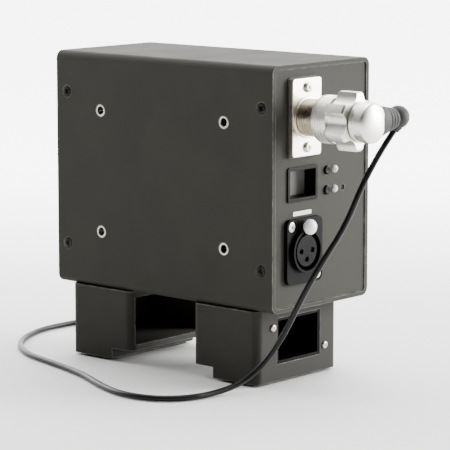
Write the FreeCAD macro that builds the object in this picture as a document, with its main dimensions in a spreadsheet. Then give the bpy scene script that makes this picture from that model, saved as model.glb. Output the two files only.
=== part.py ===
# Head-mounted receiver and interface unit: a tall metal box on two cast feet, with a
# multi-pole connector and its angled plug, an audio socket, a recessed rocker switch,
# two buttons, two indicator lenses and a reset button on its front panel.
#
# Frame: millimetres, +Z up, the feet stand on z = 0, the connector panel faces -Y,
# x = 0 and y = 0 are the middle of the case. "Depth" is measured outwards from the
# panel's front face, so it grows towards -Y.
import FreeCAD, Part
import math
import os
import Sketcher

Vector = FreeCAD.Vector
Rotation = FreeCAD.Rotation
Placement = FreeCAD.Placement

doc = FreeCAD.newDocument("receiver_unit")
sheet = doc.addObject("Spreadsheet::Sheet", "Sizes")


# ---------------------------------------------------------------- driving sizes
class Size:
    """A number together with the sheet expression that gives it."""

    def __init__(self, number, text):
        self.number = number
        self.text = text

    def __float__(self):
        return float(self.number)

    def __add__(self, other):
        other = as_size(other)
        return Size(self.number + other.number, f"({self.text} + {other.text})")

    def __sub__(self, other):
        other = as_size(other)
        return Size(self.number - other.number, f"({self.text} - {other.text})")

    def __mul__(self, other):
        other = as_size(other)
        return Size(self.number * other.number, f"({self.text} * {other.text})")

    def __truediv__(self, other):
        other = as_size(other)
        return Size(self.number / other.number, f"({self.text} / {other.text})")

    def __radd__(self, other):
        return as_size(other) + self

    def __rsub__(self, other):
        return as_size(other) - self

    def __rmul__(self, other):
        return as_size(other) * self

    def __neg__(self):
        return Size(-self.number, f"(-1 * {self.text})")


def as_size(value):
    return value if isinstance(value, Size) else Size(float(value), f"({float(value):.6f})")


sheet_row = 0


def cell(alias, number):
    """Write one driving size into the sheet and return it."""
    global sheet_row
    sheet_row += 1
    sheet.set(f"A{sheet_row}", alias)
    sheet.set(f"B{sheet_row}", str(number))
    sheet.setAlias(f"B{sheet_row}", alias)
    return Size(float(number), f"Sizes.{alias}")


# Case
case_width = cell("case_width", 72.0)
case_depth = cell("case_depth", 140.0)
case_height = cell("case_height", 116.0)
case_wall = cell("case_wall", 2.2)
case_corner = cell("case_corner", 4.0)
panel_inset = cell("panel_inset", 0.6)
panel_gap = cell("panel_gap", 0.15)
panel_thickness = cell("panel_thickness", 2.5)
tray_wall = cell("tray_wall", 2.0)
tray_depth = cell("tray_depth", 12.0)
case_screw_spread = cell("case_screw_spread", 76.0)
case_screw_edge = cell("case_screw_edge", 7.0)
screw_shank = cell("screw_shank", 1.5)
hole_clearance = cell("hole_clearance", 0.15)
vent_length = cell("vent_length", 40.0)
vent_width = cell("vent_width", 2.6)
vent_pitch = cell("vent_pitch", 6.5)
vent_count = 8

# Feet
foot_width = cell("foot_width", 60.0)
foot_length = cell("foot_length", 41.0)
foot_height = cell("foot_height", 36.0)
foot_setback = cell("foot_setback", 9.0)
foot_wall = cell("foot_wall", 3.0)
foot_tread = cell("foot_tread", 27.7)
foot_step = cell("foot_step", 6.3)
foot_corner = cell("foot_corner", 4.0)
pad_thickness = cell("pad_thickness", 1.0)
pad_margin = cell("pad_margin", 4.0)
window_width = cell("window_width", 32.0)
window_height = cell("window_height", 22.0)
window_side = cell("window_side", 14.6)
window_base = cell("window_base", 9.2)
liner_depth = cell("liner_depth", 20.0)
liner_wall = cell("liner_wall", 1.2)
liner_gap = cell("liner_gap", 0.1)
liner_flange = cell("liner_flange", 1.6)
liner_screw_shank = cell("liner_screw_shank", 0.9)
liner_screw_inset = cell("liner_screw_inset", 3.4)
liner_screw_rise = cell("liner_screw_rise", 4.0)
foot_screw_spread = cell("foot_screw_spread", 40.0)
foot_screw_shank = cell("foot_screw_shank", 2.0)

# Side mounting pattern
mount_spacing_y = cell("mount_spacing_y", 80.0)
mount_spacing_z = cell("mount_spacing_z", 60.0)
mount_hole = cell("mount_hole", 2.0)
insert_radius = cell("insert_radius", 3.0)
insert_length = cell("insert_length", 8.0)
insert_flange = cell("insert_flange", 1.2)
insert_flange_lap = cell("insert_flange_lap", 1.2)

# Multi-pole connector
pole_x = cell("pole_x", -13.9)
pole_z = cell("pole_z", 91.0)
pole_plate_width = cell("pole_plate_width", 21.0)
pole_plate_height = cell("pole_plate_height", 36.5)
pole_plate = cell("pole_plate", 2.4)
pole_screw_pitch = cell("pole_screw_pitch", 28.0)
pole_gasket = cell("pole_gasket", 0.6)
gasket_lap = cell("gasket_lap", 0.8)
pole_screw_shank = cell("pole_screw_shank", 1.2)
pole_screw_head = cell("pole_screw_head", 1.3)
pole_collar = cell("pole_collar", 0.9)
barrel_clearance = cell("barrel_clearance", 0.15)
thread_pitch = cell("thread_pitch", 1.35)
thread_start = cell("thread_start", 1.9)
thread_groove = cell("thread_groove", 0.4)
barrel_radius = cell("barrel_radius", 8.9)
barrel_wall = cell("barrel_wall", 1.4)
barrel_length = cell("barrel_length", 16.5)
pole_rear = cell("pole_rear", 14.0)
pin_radius = cell("pin_radius", 0.5)
ring_margin = cell("ring_margin", 1.3)
inner_ring = cell("inner_ring", 2.1)
running_gap = cell("running_gap", 0.1)
plug_wall = cell("plug_wall", 1.1)
plug_entry = cell("plug_entry", 2.2)
plug_insert_end = cell("plug_insert_end", 18.0)
plug_contact_start = cell("plug_contact_start", 8.0)
plug_contact_end = cell("plug_contact_end", 21.0)
plug_shoulder_start = cell("plug_shoulder_start", 1.2)
plug_shoulder_end = cell("plug_shoulder_end", 3.0)
plug_shoulder_drop = cell("plug_shoulder_drop", 0.5)
nut_start = cell("nut_start", 13.6)
nut_sleeve = cell("nut_sleeve", 11.2)
nut_grip_start = cell("nut_grip_start", 22.8)
nut_grip = cell("nut_grip", 13.8)
nut_end = cell("nut_end", 34.0)
scallop_offset = cell("scallop_offset", 1.6)
scallop_radius = cell("scallop_radius", 5.4)
nut_lobes = 6
thread_grooves = 4
backshell_radius = cell("backshell_radius", 9.5)
backshell_straight = cell("backshell_straight", 6.6)
backshell_dome = cell("backshell_dome", 3.0)
backshell_wall = cell("backshell_wall", 1.6)
boot_reach = cell("boot_reach", 39.2)
boot_stem = cell("boot_stem", 3.6)
boot_half_height = cell("boot_half_height", 7.0)
boot_half_width = cell("boot_half_width", 4.3)
boot_neck = cell("boot_neck", 4.9)
knuckle_offset = cell("knuckle_offset", 22.0)
knuckle_rise = cell("knuckle_rise", 0.9)
knuckle_radius = cell("knuckle_radius", 5.4)

# Audio socket
audio_x = cell("audio_x", -13.8)
audio_z = cell("audio_z", 28.0)
audio_width = cell("audio_width", 26.0)
audio_height = cell("audio_height", 31.0)
audio_plate = cell("audio_plate", 2.0)
audio_collar = cell("audio_collar", 10.4)
audio_collar_rise = cell("audio_collar_rise", 2.0)
audio_barrel = cell("audio_barrel", 11.7)
audio_bore = cell("audio_bore", 9.3)
audio_insert_radius = cell("audio_insert_radius", 7.5)
audio_rear = cell("audio_rear", 22.0)
audio_screw_x = cell("audio_screw_x", 9.5)
audio_screw_z = cell("audio_screw_z", 12.0)
audio_contact_ring = cell("audio_contact_ring", 4.1)
audio_screw_shank = cell("audio_screw_shank", 1.4)
audio_screw_head = cell("audio_screw_head", 2.9)
audio_sink = cell("audio_sink", 1.5)
audio_contact_radius = cell("audio_contact_radius", 1.3)
audio_contact_bore = cell("audio_contact_bore", 0.85)
latch_rise = cell("latch_rise", 11.5)
latch_radius = cell("latch_radius", 3.65)
latch_travel = cell("latch_travel", 1.8)
latch_boss_radius = cell("latch_boss_radius", 3.1)
latch_stem = cell("latch_stem", 1.5)
latch_skirt = cell("latch_skirt", 1.3)
latch_dome = cell("latch_dome", 2.4)
latch_seat_gap = cell("latch_seat_gap", 0.3)

# Rocker switch
switch_x = cell("switch_x", -14.0)
switch_z = cell("switch_z", 59.6)
switch_rim_width = cell("switch_rim_width", 22.0)
switch_rim_height = cell("switch_rim_height", 16.4)
switch_rim = cell("switch_rim", 0.8)
switch_rim_lap = cell("switch_rim_lap", 0.8)
switch_wall = cell("switch_wall", 0.9)
switch_well = cell("switch_well", 11.0)
switch_rear = cell("switch_rear", 16.0)
rocker_pivot = cell("rocker_pivot", 7.4)
rocker_gap = cell("rocker_gap", 0.3)
rocker_tilt = cell("rocker_tilt", 8.0)
rocker_crown = cell("rocker_crown", 2.7)
rocker_dip = cell("rocker_dip", 1.5)
rocker_edge = cell("rocker_edge", 1.0)
rocker_keel = cell("rocker_keel", 2.4)
rocker_keel_half = cell("rocker_keel_half", 3.2)
blade_spread = cell("blade_spread", 10.0)
blade_length = cell("blade_length", 8.0)
blade_thickness = cell("blade_thickness", 0.8)
blade_width = cell("blade_width", 4.8)
axle_radius = cell("axle_radius", 0.8)

# Buttons and lenses
button_x = cell("button_x", 4.3)
button_upper_z = cell("button_upper_z", 64.2)
button_lower_z = cell("button_lower_z", 54.7)
button_radius = cell("button_radius", 2.2)
button_rise = cell("button_rise", 1.2)
button_collar = cell("button_collar", 1.0)
button_collar_lap = cell("button_collar_lap", 0.8)
button_collar_gap = cell("button_collar_gap", 0.9)
lens_x = cell("lens_x", 10.5)
lens_radius = cell("lens_radius", 1.8)
reset_x = cell("reset_x", 16.8)
reset_radius = cell("reset_radius", 1.25)
board_reach = cell("board_reach", 10.0)
strip_width = cell("strip_width", 13.5)
strip_height = cell("strip_height", 2.0)
strip_x = cell("strip_x", -13.9)
strip_z = cell("strip_z", 45.7)

# Boards inside
board_thickness = cell("board_thickness", 1.6)
board_length = cell("board_length", 96.0)
board_height = cell("board_height", 90.0)
standoff_height = cell("standoff_height", 6.0)
board_hole_margin = cell("board_hole_margin", 5.0)
board_middle_y = cell("board_middle_y", 10.0)
power_height = cell("power_height", 36.0)
power_along = cell("power_along", -22.0)
power_length = cell("power_length", 30.0)
power_width = cell("power_width", 24.0)
power_thickness = cell("power_thickness", 9.0)
sink_base = cell("sink_base", 2.0)
fin_height = cell("fin_height", 10.0)
fin_thickness = cell("fin_thickness", 1.2)
capacitor_height = cell("capacitor_height", 34.0)
capacitor_along = cell("capacitor_along", 10.0)
capacitor_pitch = cell("capacitor_pitch", 12.0)
capacitor_radius = cell("capacitor_radius", 4.5)
capacitor_length = cell("capacitor_length", 12.0)
receiver_along = cell("receiver_along", 18.0)
receiver_up = cell("receiver_up", 18.0)
receiver_length = cell("receiver_length", 46.0)
receiver_width = cell("receiver_width", 34.0)
receiver_sheet = cell("receiver_sheet", 1.0)
can_margin = cell("can_margin", 3.0)
can_height = cell("can_height", 6.0)
can_wall = cell("can_wall", 0.4)
header_along = cell("header_along", -36.0)
header_up = cell("header_up", 22.0)
header_length = cell("header_length", 10.0)
header_width = cell("header_width", 30.0)
header_rise = cell("header_rise", 8.0)
ribbon_width = cell("ribbon_width", 10.0)
ribbon_thickness = cell("ribbon_thickness", 0.8)

# Cable
cable_radius = cell("cable_radius", 1.4)
coil_radius = cell("coil_radius", 15.5)
coil_x = cell("coil_x", 36.0)
coil_gap = cell("coil_gap", 24.5)
far_plug_radius = cell("far_plug_radius", 6.0)
far_plug_length = cell("far_plug_length", 24.0)

# ------------------------------------------------------------ worked-out places
front_y = -case_depth / 2
face_y = front_y + panel_inset
case_floor = foot_height
middle_z = case_floor + case_height / 2
inner_width = case_width - 2 * case_wall
inner_height = case_height - 2 * case_wall
inner_corner = case_corner - case_wall
tray_width = inner_width - 2 * panel_gap
tray_height = inner_height - 2 * panel_gap
left_x = -case_width / 2
pole_up = case_floor + pole_z
audio_up = case_floor + audio_z
barrel_bore = barrel_radius - barrel_wall
plug_nose = barrel_bore - 2 * running_gap
plug_bore = plug_nose - plug_wall
outer_ring = plug_bore - ring_margin
backshell_start = nut_end + 0.4
backshell_turn = backshell_start + backshell_straight
backshell_end = backshell_turn + backshell_dome
switch_up = case_floor + switch_z
coil_y = case_depth / 2 + coil_gap

FORWARD = Rotation(Vector(1, 0, 0), 90)      # local z points out of the connector panel
BACKWARD = Rotation(Vector(1, 0, 0), -90)    # local z points out of the rear panel
LEFTWARD = Rotation(Vector(0, 1, 0), -90)    # local z points to -X
RIGHTWARD = Rotation(Vector(0, 1, 0), 90)    # local z points to +X
UPWARD = Rotation()

nodes = []


# ------------------------------------------------------------- building helpers
def bind(thing, prop, size):
    thing.setExpression(prop, as_size(size).text)


def place(thing, x, y, z, turn=UPWARD):
    x, y, z = as_size(x), as_size(y), as_size(z)
    thing.Placement = Placement(Vector(float(x), float(y), float(z)), turn)
    bind(thing, "Placement.Base.x", x)
    bind(thing, "Placement.Base.y", y)
    bind(thing, "Placement.Base.z", z)
    return thing


def block(name, low, size):
    """A box from its low corner and its three sizes."""
    thing = doc.addObject("Part::Box", name)
    bind(thing, "Length", size[0])
    bind(thing, "Width", size[1])
    bind(thing, "Height", size[2])
    return place(thing, *low)


def rod(name, base, radius, length, turn=UPWARD):
    """A cylinder from the centre of its first face, along the turned z."""
    thing = doc.addObject("Part::Cylinder", name)
    bind(thing, "Radius", radius)
    bind(thing, "Height", length)
    return place(thing, *base, turn)


def taper(name, base, radius_a, radius_b, length, turn=UPWARD):
    thing = doc.addObject("Part::Cone", name)
    bind(thing, "Radius1", radius_a)
    bind(thing, "Radius2", radius_b)
    bind(thing, "Height", length)
    return place(thing, *base, turn)


def ball(name, centre, radius):
    thing = doc.addObject("Part::Sphere", name)
    bind(thing, "Radius", radius)
    return place(thing, *centre)


def out(x, up, reach):
    """A point in front of the panel: x, height above the floor, reach out of its face."""
    return (x, face_y - reach, up)


def outward_rod(name, x, up, start, end, radius):
    """A cylinder square to the panel, from one reach to another."""
    return rod(name, out(x, up, start), radius, as_size(end) - start, FORWARD)


def outward_block(name, x, up, start, end, width, height):
    """A box square to the panel, centred on x and height, from one reach to another."""
    low = (x - as_size(width) / 2, face_y - end, up - as_size(height) / 2)
    return block(name, low, (width, as_size(end) - start, height))


def rounded(name, base, direction, radius):
    """Round the edges of a box that run along one direction."""
    doc.recompute()
    edges = []
    for number, edge in enumerate(base.Shape.Edges, 1):
        line = edge.Vertexes[1].Point - edge.Vertexes[0].Point
        if abs(line.normalize().dot(direction)) > 0.999:
            edges.append((number, float(radius), float(radius)))
    thing = doc.addObject("Part::Fillet", name)
    thing.Base = base
    thing.Edges = edges
    return thing


def join(name, things):
    thing = doc.addObject("Part::MultiFuse", name)
    thing.Shapes = things
    return thing


def cut(name, base, tools):
    thing = doc.addObject("Part::Cut", name)
    thing.Base = base
    thing.Tool = tools[0] if len(tools) == 1 else join(name + "_tools", tools)
    return thing


def together(name, things):
    """Identical pieces kept as separate solids of one sub-part."""
    thing = doc.addObject("Part::Compound", name)
    thing.Links = things
    return thing


def node(name, thing):
    thing.Label = name
    nodes.append(thing)
    return thing


def screw(name, base, turn, shank, length, head, head_height, countersunk=False):
    """A machine screw whose head sits on the base point and points along the turned z."""
    axis = turn.multVec(Vector(0, 0, 1))
    x, y, z = (as_size(value) for value in base)

    def along(distance):
        distance = as_size(distance)
        return (x + axis.x * distance, y + axis.y * distance, z + axis.z * distance)

    if countersunk:
        top = as_size(0)
        head_solid = taper(name + "_head", along(-as_size(head_height)), shank, head, head_height, turn)
    else:
        top = as_size(head_height)
        head_solid = rod(name + "_head", base, head, head_height, turn)
    shank_solid = rod(name + "_shank", along(-as_size(length)), shank, length, turn)
    socket_depth = as_size(head_height) * 0.6
    socket = doc.addObject("Part::Prism", name + "_socket")
    socket.Polygon = 6
    bind(socket, "Circumradius", as_size(shank) * 0.75)
    bind(socket, "Height", socket_depth + 0.5)
    place(socket, *along(top - socket_depth), turn)
    return cut(name, join(name + "_body", [head_solid, shank_solid]), [socket])


# ------------------------------------------------------------- sketched bodies
def sketch_on(body, name, role, offset=0):
    sketch = body.newObject("Sketcher::SketchObject", name)
    plane = [item for item in body.Origin.OriginFeatures if item.Role == role][0]
    sketch.AttachmentSupport = [(plane, "")]
    sketch.MapMode = "FlatFace"
    bind(sketch, "AttachmentOffset.Base.z", offset)
    return sketch


def constrain(sketch, size, *arguments):
    size = as_size(size)
    number = sketch.addConstraint(Sketcher.Constraint(*arguments, float(size)))
    sketch.setExpression(f"Constraints[{number}]", size.text)


def draw_rectangle(sketch, x, y, width, height):
    """A rectangle centred on x, y with its place and size bound to the sheet."""
    x, y = as_size(x), as_size(y)
    low_x, high_x = x - as_size(width) / 2, x + as_size(width) / 2
    low_y, high_y = y - as_size(height) / 2, y + as_size(height) / 2
    corners = [Vector(float(a), float(b), 0) for a, b in
               ((low_x, low_y), (high_x, low_y), (high_x, high_y), (low_x, high_y))]
    first = sketch.GeometryCount
    for index in range(4):
        sketch.addGeometry(Part.LineSegment(corners[index], corners[(index + 1) % 4]), False)
    for index in range(4):
        following = first + (index + 1) % 4
        sketch.addConstraint(Sketcher.Constraint("Coincident", first + index, 2, following, 1))
    for index in (0, 2):
        sketch.addConstraint(Sketcher.Constraint("Horizontal", first + index))
        sketch.addConstraint(Sketcher.Constraint("Vertical", first + index + 1))
    constrain(sketch, low_x, "DistanceX", -1, 1, first, 1)
    constrain(sketch, low_y, "DistanceY", -1, 1, first, 1)
    constrain(sketch, high_x, "DistanceX", -1, 1, first + 2, 1)
    constrain(sketch, high_y, "DistanceY", -1, 1, first + 2, 1)


def draw_circle(sketch, x, y, radius):
    x, y = as_size(x), as_size(y)
    circle = Part.Circle(Vector(float(x), float(y), 0), Vector(0, 0, 1), float(as_size(radius)))
    number = sketch.addGeometry(circle, False)
    constrain(sketch, radius, "Radius", number)
    constrain(sketch, x, "DistanceX", -1, 1, number, 3)
    constrain(sketch, y, "DistanceY", -1, 1, number, 3)


def pad(body, name, sketch, length, inward=True):
    feature = body.newObject("PartDesign::Pad", name)
    feature.Profile = sketch
    feature.Reversed = inward
    bind(feature, "Length", length)
    return feature


def pocket(body, name, sketch):
    """Cut a sketch right through the body, both ways; the volume has to fall."""
    doc.recompute()
    before = body.Shape.Volume
    feature = body.newObject("PartDesign::Pocket", name)
    feature.Profile = sketch
    feature.Type = "ThroughAll"
    feature.Midplane = True
    doc.recompute()
    if body.Shape.Volume > before - 0.5:
        raise RuntimeError(f"{name} cuts nothing")
    return feature


def round_upright_edges(body, name, radius, corner_x, corner_y):
    """Round the four outer edges of a tray that run along its local z."""
    doc.recompute()
    last = body.Tip
    chosen = []
    for number, edge in enumerate(last.Shape.Edges, 1):
        a, b = edge.Vertexes[0].Point, edge.Vertexes[-1].Point
        upright = abs(a.x - b.x) < 1e-6 and abs(a.y - b.y) < 1e-6 and abs(a.z - b.z) > 1e-6
        at_corner = abs(abs(a.x) - float(corner_x)) < 1e-6 and abs(abs(a.y) - float(corner_y)) < 1e-6
        if upright and at_corner:
            chosen.append(f"Edge{number}")
    feature = body.newObject("PartDesign::Fillet", name)
    feature.Base = (last, chosen)
    bind(feature, "Radius", radius)
    return feature


def tray(name, thickness):
    """A folded tray: a flat face at local z = 0 and a rim that runs back inside the case."""
    body = doc.addObject("PartDesign::Body", name)
    face = sketch_on(body, name + "_face_outline", "XY_Plane")
    draw_rectangle(face, 0, 0, tray_width, tray_height)
    pad(body, name + "_face", face, thickness)
    rim = sketch_on(body, name + "_rim_outline", "XY_Plane", -thickness)
    draw_rectangle(rim, 0, 0, tray_width, tray_height)
    draw_rectangle(rim, 0, 0, tray_width - 2 * tray_wall, tray_height - 2 * tray_wall)
    pad(body, name + "_rim", rim, tray_depth - thickness)
    round_upright_edges(body, name + "_corners", inner_corner - panel_gap, tray_width / 2, tray_height / 2)
    side = sketch_on(body, name + "_side_holes", "YZ_Plane")
    for sign in (-1, 1):
        draw_circle(side, sign * case_screw_spread / 2, panel_inset - case_screw_edge, screw_shank)
    pocket(body, name + "_side_screw_holes", side)
    return body


# ------------------------------------------------------------------------ case
def case_shell():
    outer = rounded("case_outer", block("case_blank", (left_x, front_y, case_floor),
                                        (case_width, case_depth, case_height)),
                    Vector(0, 1, 0), case_corner)
    inner_low = (left_x + case_wall, front_y - 1, case_floor + case_wall)
    inner = rounded("case_inner", block("case_core", inner_low, (inner_width, case_depth + 2, inner_height)),
                    Vector(0, 1, 0), inner_corner)
    tools = [inner]
    for end in (-1, 1):
        y = end * (case_depth / 2 - case_screw_edge)
        for side in (-1, 1):
            z = middle_z + side * case_screw_spread / 2
            tag = f"{end + 1}{side + 1}"
            tools.append(rod("side_hole_" + tag, (left_x - 1, y, z), screw_shank + hole_clearance,
                             case_width + 2, RIGHTWARD))
            tools.append(taper("left_sink_" + tag, (left_x + case_wall * 0.75, y, z),
                               screw_shank, screw_shank * 2, case_wall * 0.75, LEFTWARD))
            tools.append(taper("right_sink_" + tag, (case_width / 2 - case_wall * 0.75, y, z),
                               screw_shank, screw_shank * 2, case_wall * 0.75, RIGHTWARD))
    for index, (x, y) in enumerate(foot_screw_places()):
        tools.append(rod(f"floor_hole_{index}", (x, y, case_floor - 1),
                         foot_screw_shank + hole_clearance, case_wall + 2))
    for index, (y, z) in enumerate(mount_places()):
        tools.append(rod(f"insert_hole_{index}", (left_x - 1, y, z), insert_radius,
                         case_wall + 2, RIGHTWARD))
    node("case_shell", cut("case_shell", outer, tools))


def foot_screw_places():
    middle_x = left_x + foot_width / 2
    places = []
    for end in (-1, 1):
        y = end * (case_depth / 2 - foot_setback - foot_length * 0.6)
        for side in (-1, 1):
            places.append((middle_x + side * foot_screw_spread / 2, y))
    return places


def mount_places():
    return [(end * mount_spacing_y / 2, middle_z + side * mount_spacing_z / 2)
            for end in (-1, 1) for side in (-1, 1)]


def connector_panel():
    body = tray("connector_panel", panel_thickness)
    holes = sketch_on(body, "panel_holes", "XY_Plane")
    pole_y = pole_up - middle_z
    draw_circle(holes, pole_x, pole_y, barrel_radius)
    for side in (-1, 1):
        draw_circle(holes, pole_x, pole_y + side * pole_screw_pitch / 2, pole_screw_shank)
    audio_y = audio_up - middle_z
    draw_circle(holes, audio_x, audio_y, audio_barrel + hole_clearance)
    for side in (-1, 1):
        draw_circle(holes, audio_x - side * audio_screw_x, audio_y + side * audio_screw_z,
                    audio_screw_shank)
    opening = (switch_rim_width - 2 * switch_rim_lap + 2 * hole_clearance,
               switch_rim_height - 2 * switch_rim_lap + 2 * hole_clearance)
    draw_rectangle(holes, switch_x, switch_up - middle_z, *opening)
    for up in (button_upper_z, button_lower_z):
        y = case_floor + up - middle_z
        draw_circle(holes, button_x, y, button_radius + hole_clearance)
        draw_circle(holes, lens_x, y, lens_radius)
    draw_circle(holes, reset_x, case_floor + button_lower_z - middle_z, reset_radius + hole_clearance)
    pocket(body, "panel_openings", holes)
    latch = sketch_on(body, "latch_hole", "XY_Plane")
    draw_circle(latch, audio_x, audio_y + latch_rise, latch_boss_radius + hole_clearance)
    pocket(body, "latch_opening", latch)
    place(body, 0, face_y, middle_z, FORWARD)
    node("connector_panel", body)


def rear_panel():
    body = tray("rear_panel", panel_thickness)
    slot = sketch_on(body, "vent_slot", "XY_Plane")
    draw_rectangle(slot, 0, vent_pitch * (vent_count - 1) / 2, vent_length, vent_width)
    first = pocket(body, "vent", slot)
    pattern = body.newObject("PartDesign::LinearPattern", "vents")
    pattern.Originals = [first]
    axis = [item for item in body.Origin.OriginFeatures if item.Role == "Y_Axis"][0]
    pattern.Direction = (axis, [""])
    pattern.Reversed = True
    bind(pattern, "Length", vent_pitch * (vent_count - 1))
    pattern.Occurrences = vent_count
    body.Tip = pattern
    doc.recompute()
    place(body, 0, case_depth / 2 - panel_inset, middle_z, BACKWARD)
    node("rear_panel", body)


def case_screws():
    screws = []
    for end in (-1, 1):
        y = end * (case_depth / 2 - case_screw_edge)
        for side in (-1, 1):
            z = middle_z + side * case_screw_spread / 2
            for hand, x, turn in ((0, left_x, LEFTWARD), (1, case_width / 2, RIGHTWARD)):
                screws.append(screw(f"case_screw_{end + 1}{side + 1}{hand}", (x, y, z), turn, screw_shank,
                                    case_wall + tray_wall + 1.5, screw_shank * 2, case_wall * 0.75, True))
    node("case_screws", together("case_screws", screws))


def mount_inserts():
    inserts = []
    for index, (y, z) in enumerate(mount_places()):
        sleeve = rod(f"insert_sleeve_{index}", (left_x, y, z), insert_radius, insert_length, RIGHTWARD)
        collar = rod(f"insert_collar_{index}", (left_x + case_wall, y, z),
                     insert_radius + insert_flange_lap, insert_flange, RIGHTWARD)
        thread = rod(f"insert_thread_{index}", (left_x - 1, y, z), mount_hole,
                     insert_length + 2, RIGHTWARD)
        inserts.append(cut(f"insert_{index}", join(f"insert_blank_{index}", [sleeve, collar]), [thread]))
    node("mount_inserts", together("mount_inserts", inserts))


def marking_strip():
    strip = outward_block("strip_plate", strip_x, case_floor + strip_z, 0, 0.3, strip_width, strip_height)
    node("marking_strip", rounded("marking_strip", strip, Vector(0, 1, 0), 0.4))


# ------------------------------------------------------------------------ feet
def foot_span(end, near, far):
    """Low y and length of a stretch of a foot, measured inwards from its outer face."""
    near, far = as_size(near), as_size(far)
    start = case_depth / 2 - foot_setback - near
    finish = case_depth / 2 - foot_setback - far
    return (-start, far - near) if end < 0 else (finish, far - near)


def foot(name, end):
    low, length = foot_span(end, 0, foot_length)
    bottom = pad_thickness
    blank = rounded(name + "_outer", block(name + "_blank", (left_x, low, bottom),
                                           (foot_width, length, foot_height - bottom)),
                    Vector(0, 0, 1), foot_corner)
    low, length = foot_span(end, foot_tread, foot_length + 1)
    step = block(name + "_step", (left_x - 1, low, -1), (foot_width + 2, length, foot_step + 1))
    low, length = foot_span(end, foot_wall, foot_length + 1)
    cavity_base = foot_step + foot_wall
    cavity = block(name + "_cavity", (left_x + foot_wall, low, cavity_base),
                   (foot_width - 2 * foot_wall, length, foot_height - foot_wall - cavity_base))
    tools = [step, cavity]
    places = foot_screw_places()[:2] if end < 0 else foot_screw_places()[2:]
    for index, (x, y) in enumerate(places):
        tools.append(rod(f"{name}_thread_{index}", (x, y, foot_height - foot_wall - 1),
                         foot_screw_shank, foot_wall + 2))
    if end < 0:
        low, length = foot_span(end, -1, foot_wall + 1)
        tools.append(block("foot_window", (left_x + window_side, low, window_base),
                           (window_width, length, window_height)))
        for index, (x, z) in enumerate(liner_screw_places()):
            low_y = front_y + foot_setback - 1
            tools.append(rod(f"liner_hole_{index}", (x, low_y, z),
                             liner_screw_shank + running_gap, foot_wall + 2, BACKWARD))
    node(name, cut(name, blank, tools))


def liner_screw_places():
    left = left_x + window_side - liner_screw_inset
    right = left_x + window_side + window_width + liner_screw_inset
    return [(left, window_base + window_height - liner_screw_rise), (right, window_base + liner_screw_rise)]


def window_liner():
    """A black moulded pocket behind the foot's window, open to the front."""
    width, height = window_width - 2 * liner_gap, window_height - 2 * liner_gap
    x = left_x + window_side + liner_gap
    y = front_y + foot_setback
    base = window_base + liner_gap
    pocket_body = block("liner_body", (x, y + 0.4, base), (width, liner_depth, height))
    flange = block("liner_flange", (left_x + foot_wall + 1, y + foot_wall, cavity_floor() + 0.2),
                   (foot_width - 2 * foot_wall - 2, liner_flange,
                    foot_height - foot_wall - cavity_floor() - 0.4))
    hollow = block("liner_hollow", (x + liner_wall, y - 1, base + liner_wall),
                   (width - 2 * liner_wall, liner_depth + 1 - liner_wall, height - 2 * liner_wall))
    tools = [hollow]
    for index, (hole_x, z) in enumerate(liner_screw_places()):
        tools.append(rod(f"liner_thread_{index}", (hole_x, y + foot_wall - 1, z),
                         liner_screw_shank, liner_flange + 2.4, BACKWARD))
    node("window_liner", cut("window_liner", join("liner_blank", [pocket_body, flange]), tools))


def cavity_floor():
    return foot_step + foot_wall


def liner_screws():
    screws = []
    for index, (x, z) in enumerate(liner_screw_places()):
        screws.append(screw(f"liner_screw_{index}", (x, front_y + foot_setback, z), FORWARD,
                            liner_screw_shank, foot_wall + 1.4, 2 * liner_screw_shank, liner_screw_shank))
    node("liner_screws", together("liner_screws", screws))


def foot_pads():
    pads = []
    for end in (-1, 1):
        low, length = foot_span(end, pad_margin, foot_tread - 1)
        pads.append(block(f"foot_pad_{end + 1}", (left_x + pad_margin, low, 0),
                          (foot_width - 2 * pad_margin, length, pad_thickness)))
    node("foot_pads", together("foot_pads", pads))


def foot_screws():
    screws = []
    for index, (x, y) in enumerate(foot_screw_places()):
        screws.append(screw(f"foot_screw_{index}", (x, y, case_floor + case_wall), UPWARD,
                            foot_screw_shank, case_wall + foot_wall + 1.5, foot_screw_shank * 1.8, 2.4))
    node("foot_screws", together("foot_screws", screws))


# --------------------------------------------------------- multi-pole connector
def pole_holes():
    """The contact places: a ring of nine and a ring of three."""
    places = []
    for count, radius in ((9, outer_ring), (3, inner_ring)):
        for index in range(count):
            angle = 2 * math.pi * index / count
            places.append((pole_x + math.cos(angle) * radius, pole_up + math.sin(angle) * radius))
    return places


def pole_socket():
    start = pole_gasket
    plate = rounded("pole_plate_round",
                    outward_block("pole_plate_blank", pole_x, pole_up, start, start + pole_plate,
                                  pole_plate_width, pole_plate_height), Vector(0, 1, 0), 1.6)
    collar = outward_rod("pole_collar_ring", pole_x, pole_up, start + pole_plate,
                         start + pole_plate + pole_collar, barrel_radius + pole_collar)
    barrel = outward_rod("pole_barrel", pole_x, pole_up, -pole_rear, barrel_length,
                         barrel_radius - barrel_clearance)
    tools = [outward_rod("pole_bore", pole_x, pole_up, -pole_rear - 1, barrel_length + 1, barrel_bore)]
    for side in (-1, 1):
        tools.append(outward_rod(f"pole_screw_hole_{side + 1}", pole_x,
                                 pole_up + side * pole_screw_pitch / 2,
                                 start - 1, start + pole_plate + 1, pole_screw_shank + running_gap))
    for index in range(thread_grooves):
        groove = doc.addObject("Part::Torus", f"pole_groove_{index}")
        bind(groove, "Radius1", barrel_radius)
        bind(groove, "Radius2", thread_groove)
        reach = start + pole_plate + thread_start + thread_pitch * index
        place(groove, *out(pole_x, pole_up, reach), FORWARD)
        tools.append(groove)
    node("pole_socket", cut("pole_socket", join("pole_socket_blank", [plate, collar, barrel]), tools))


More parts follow.
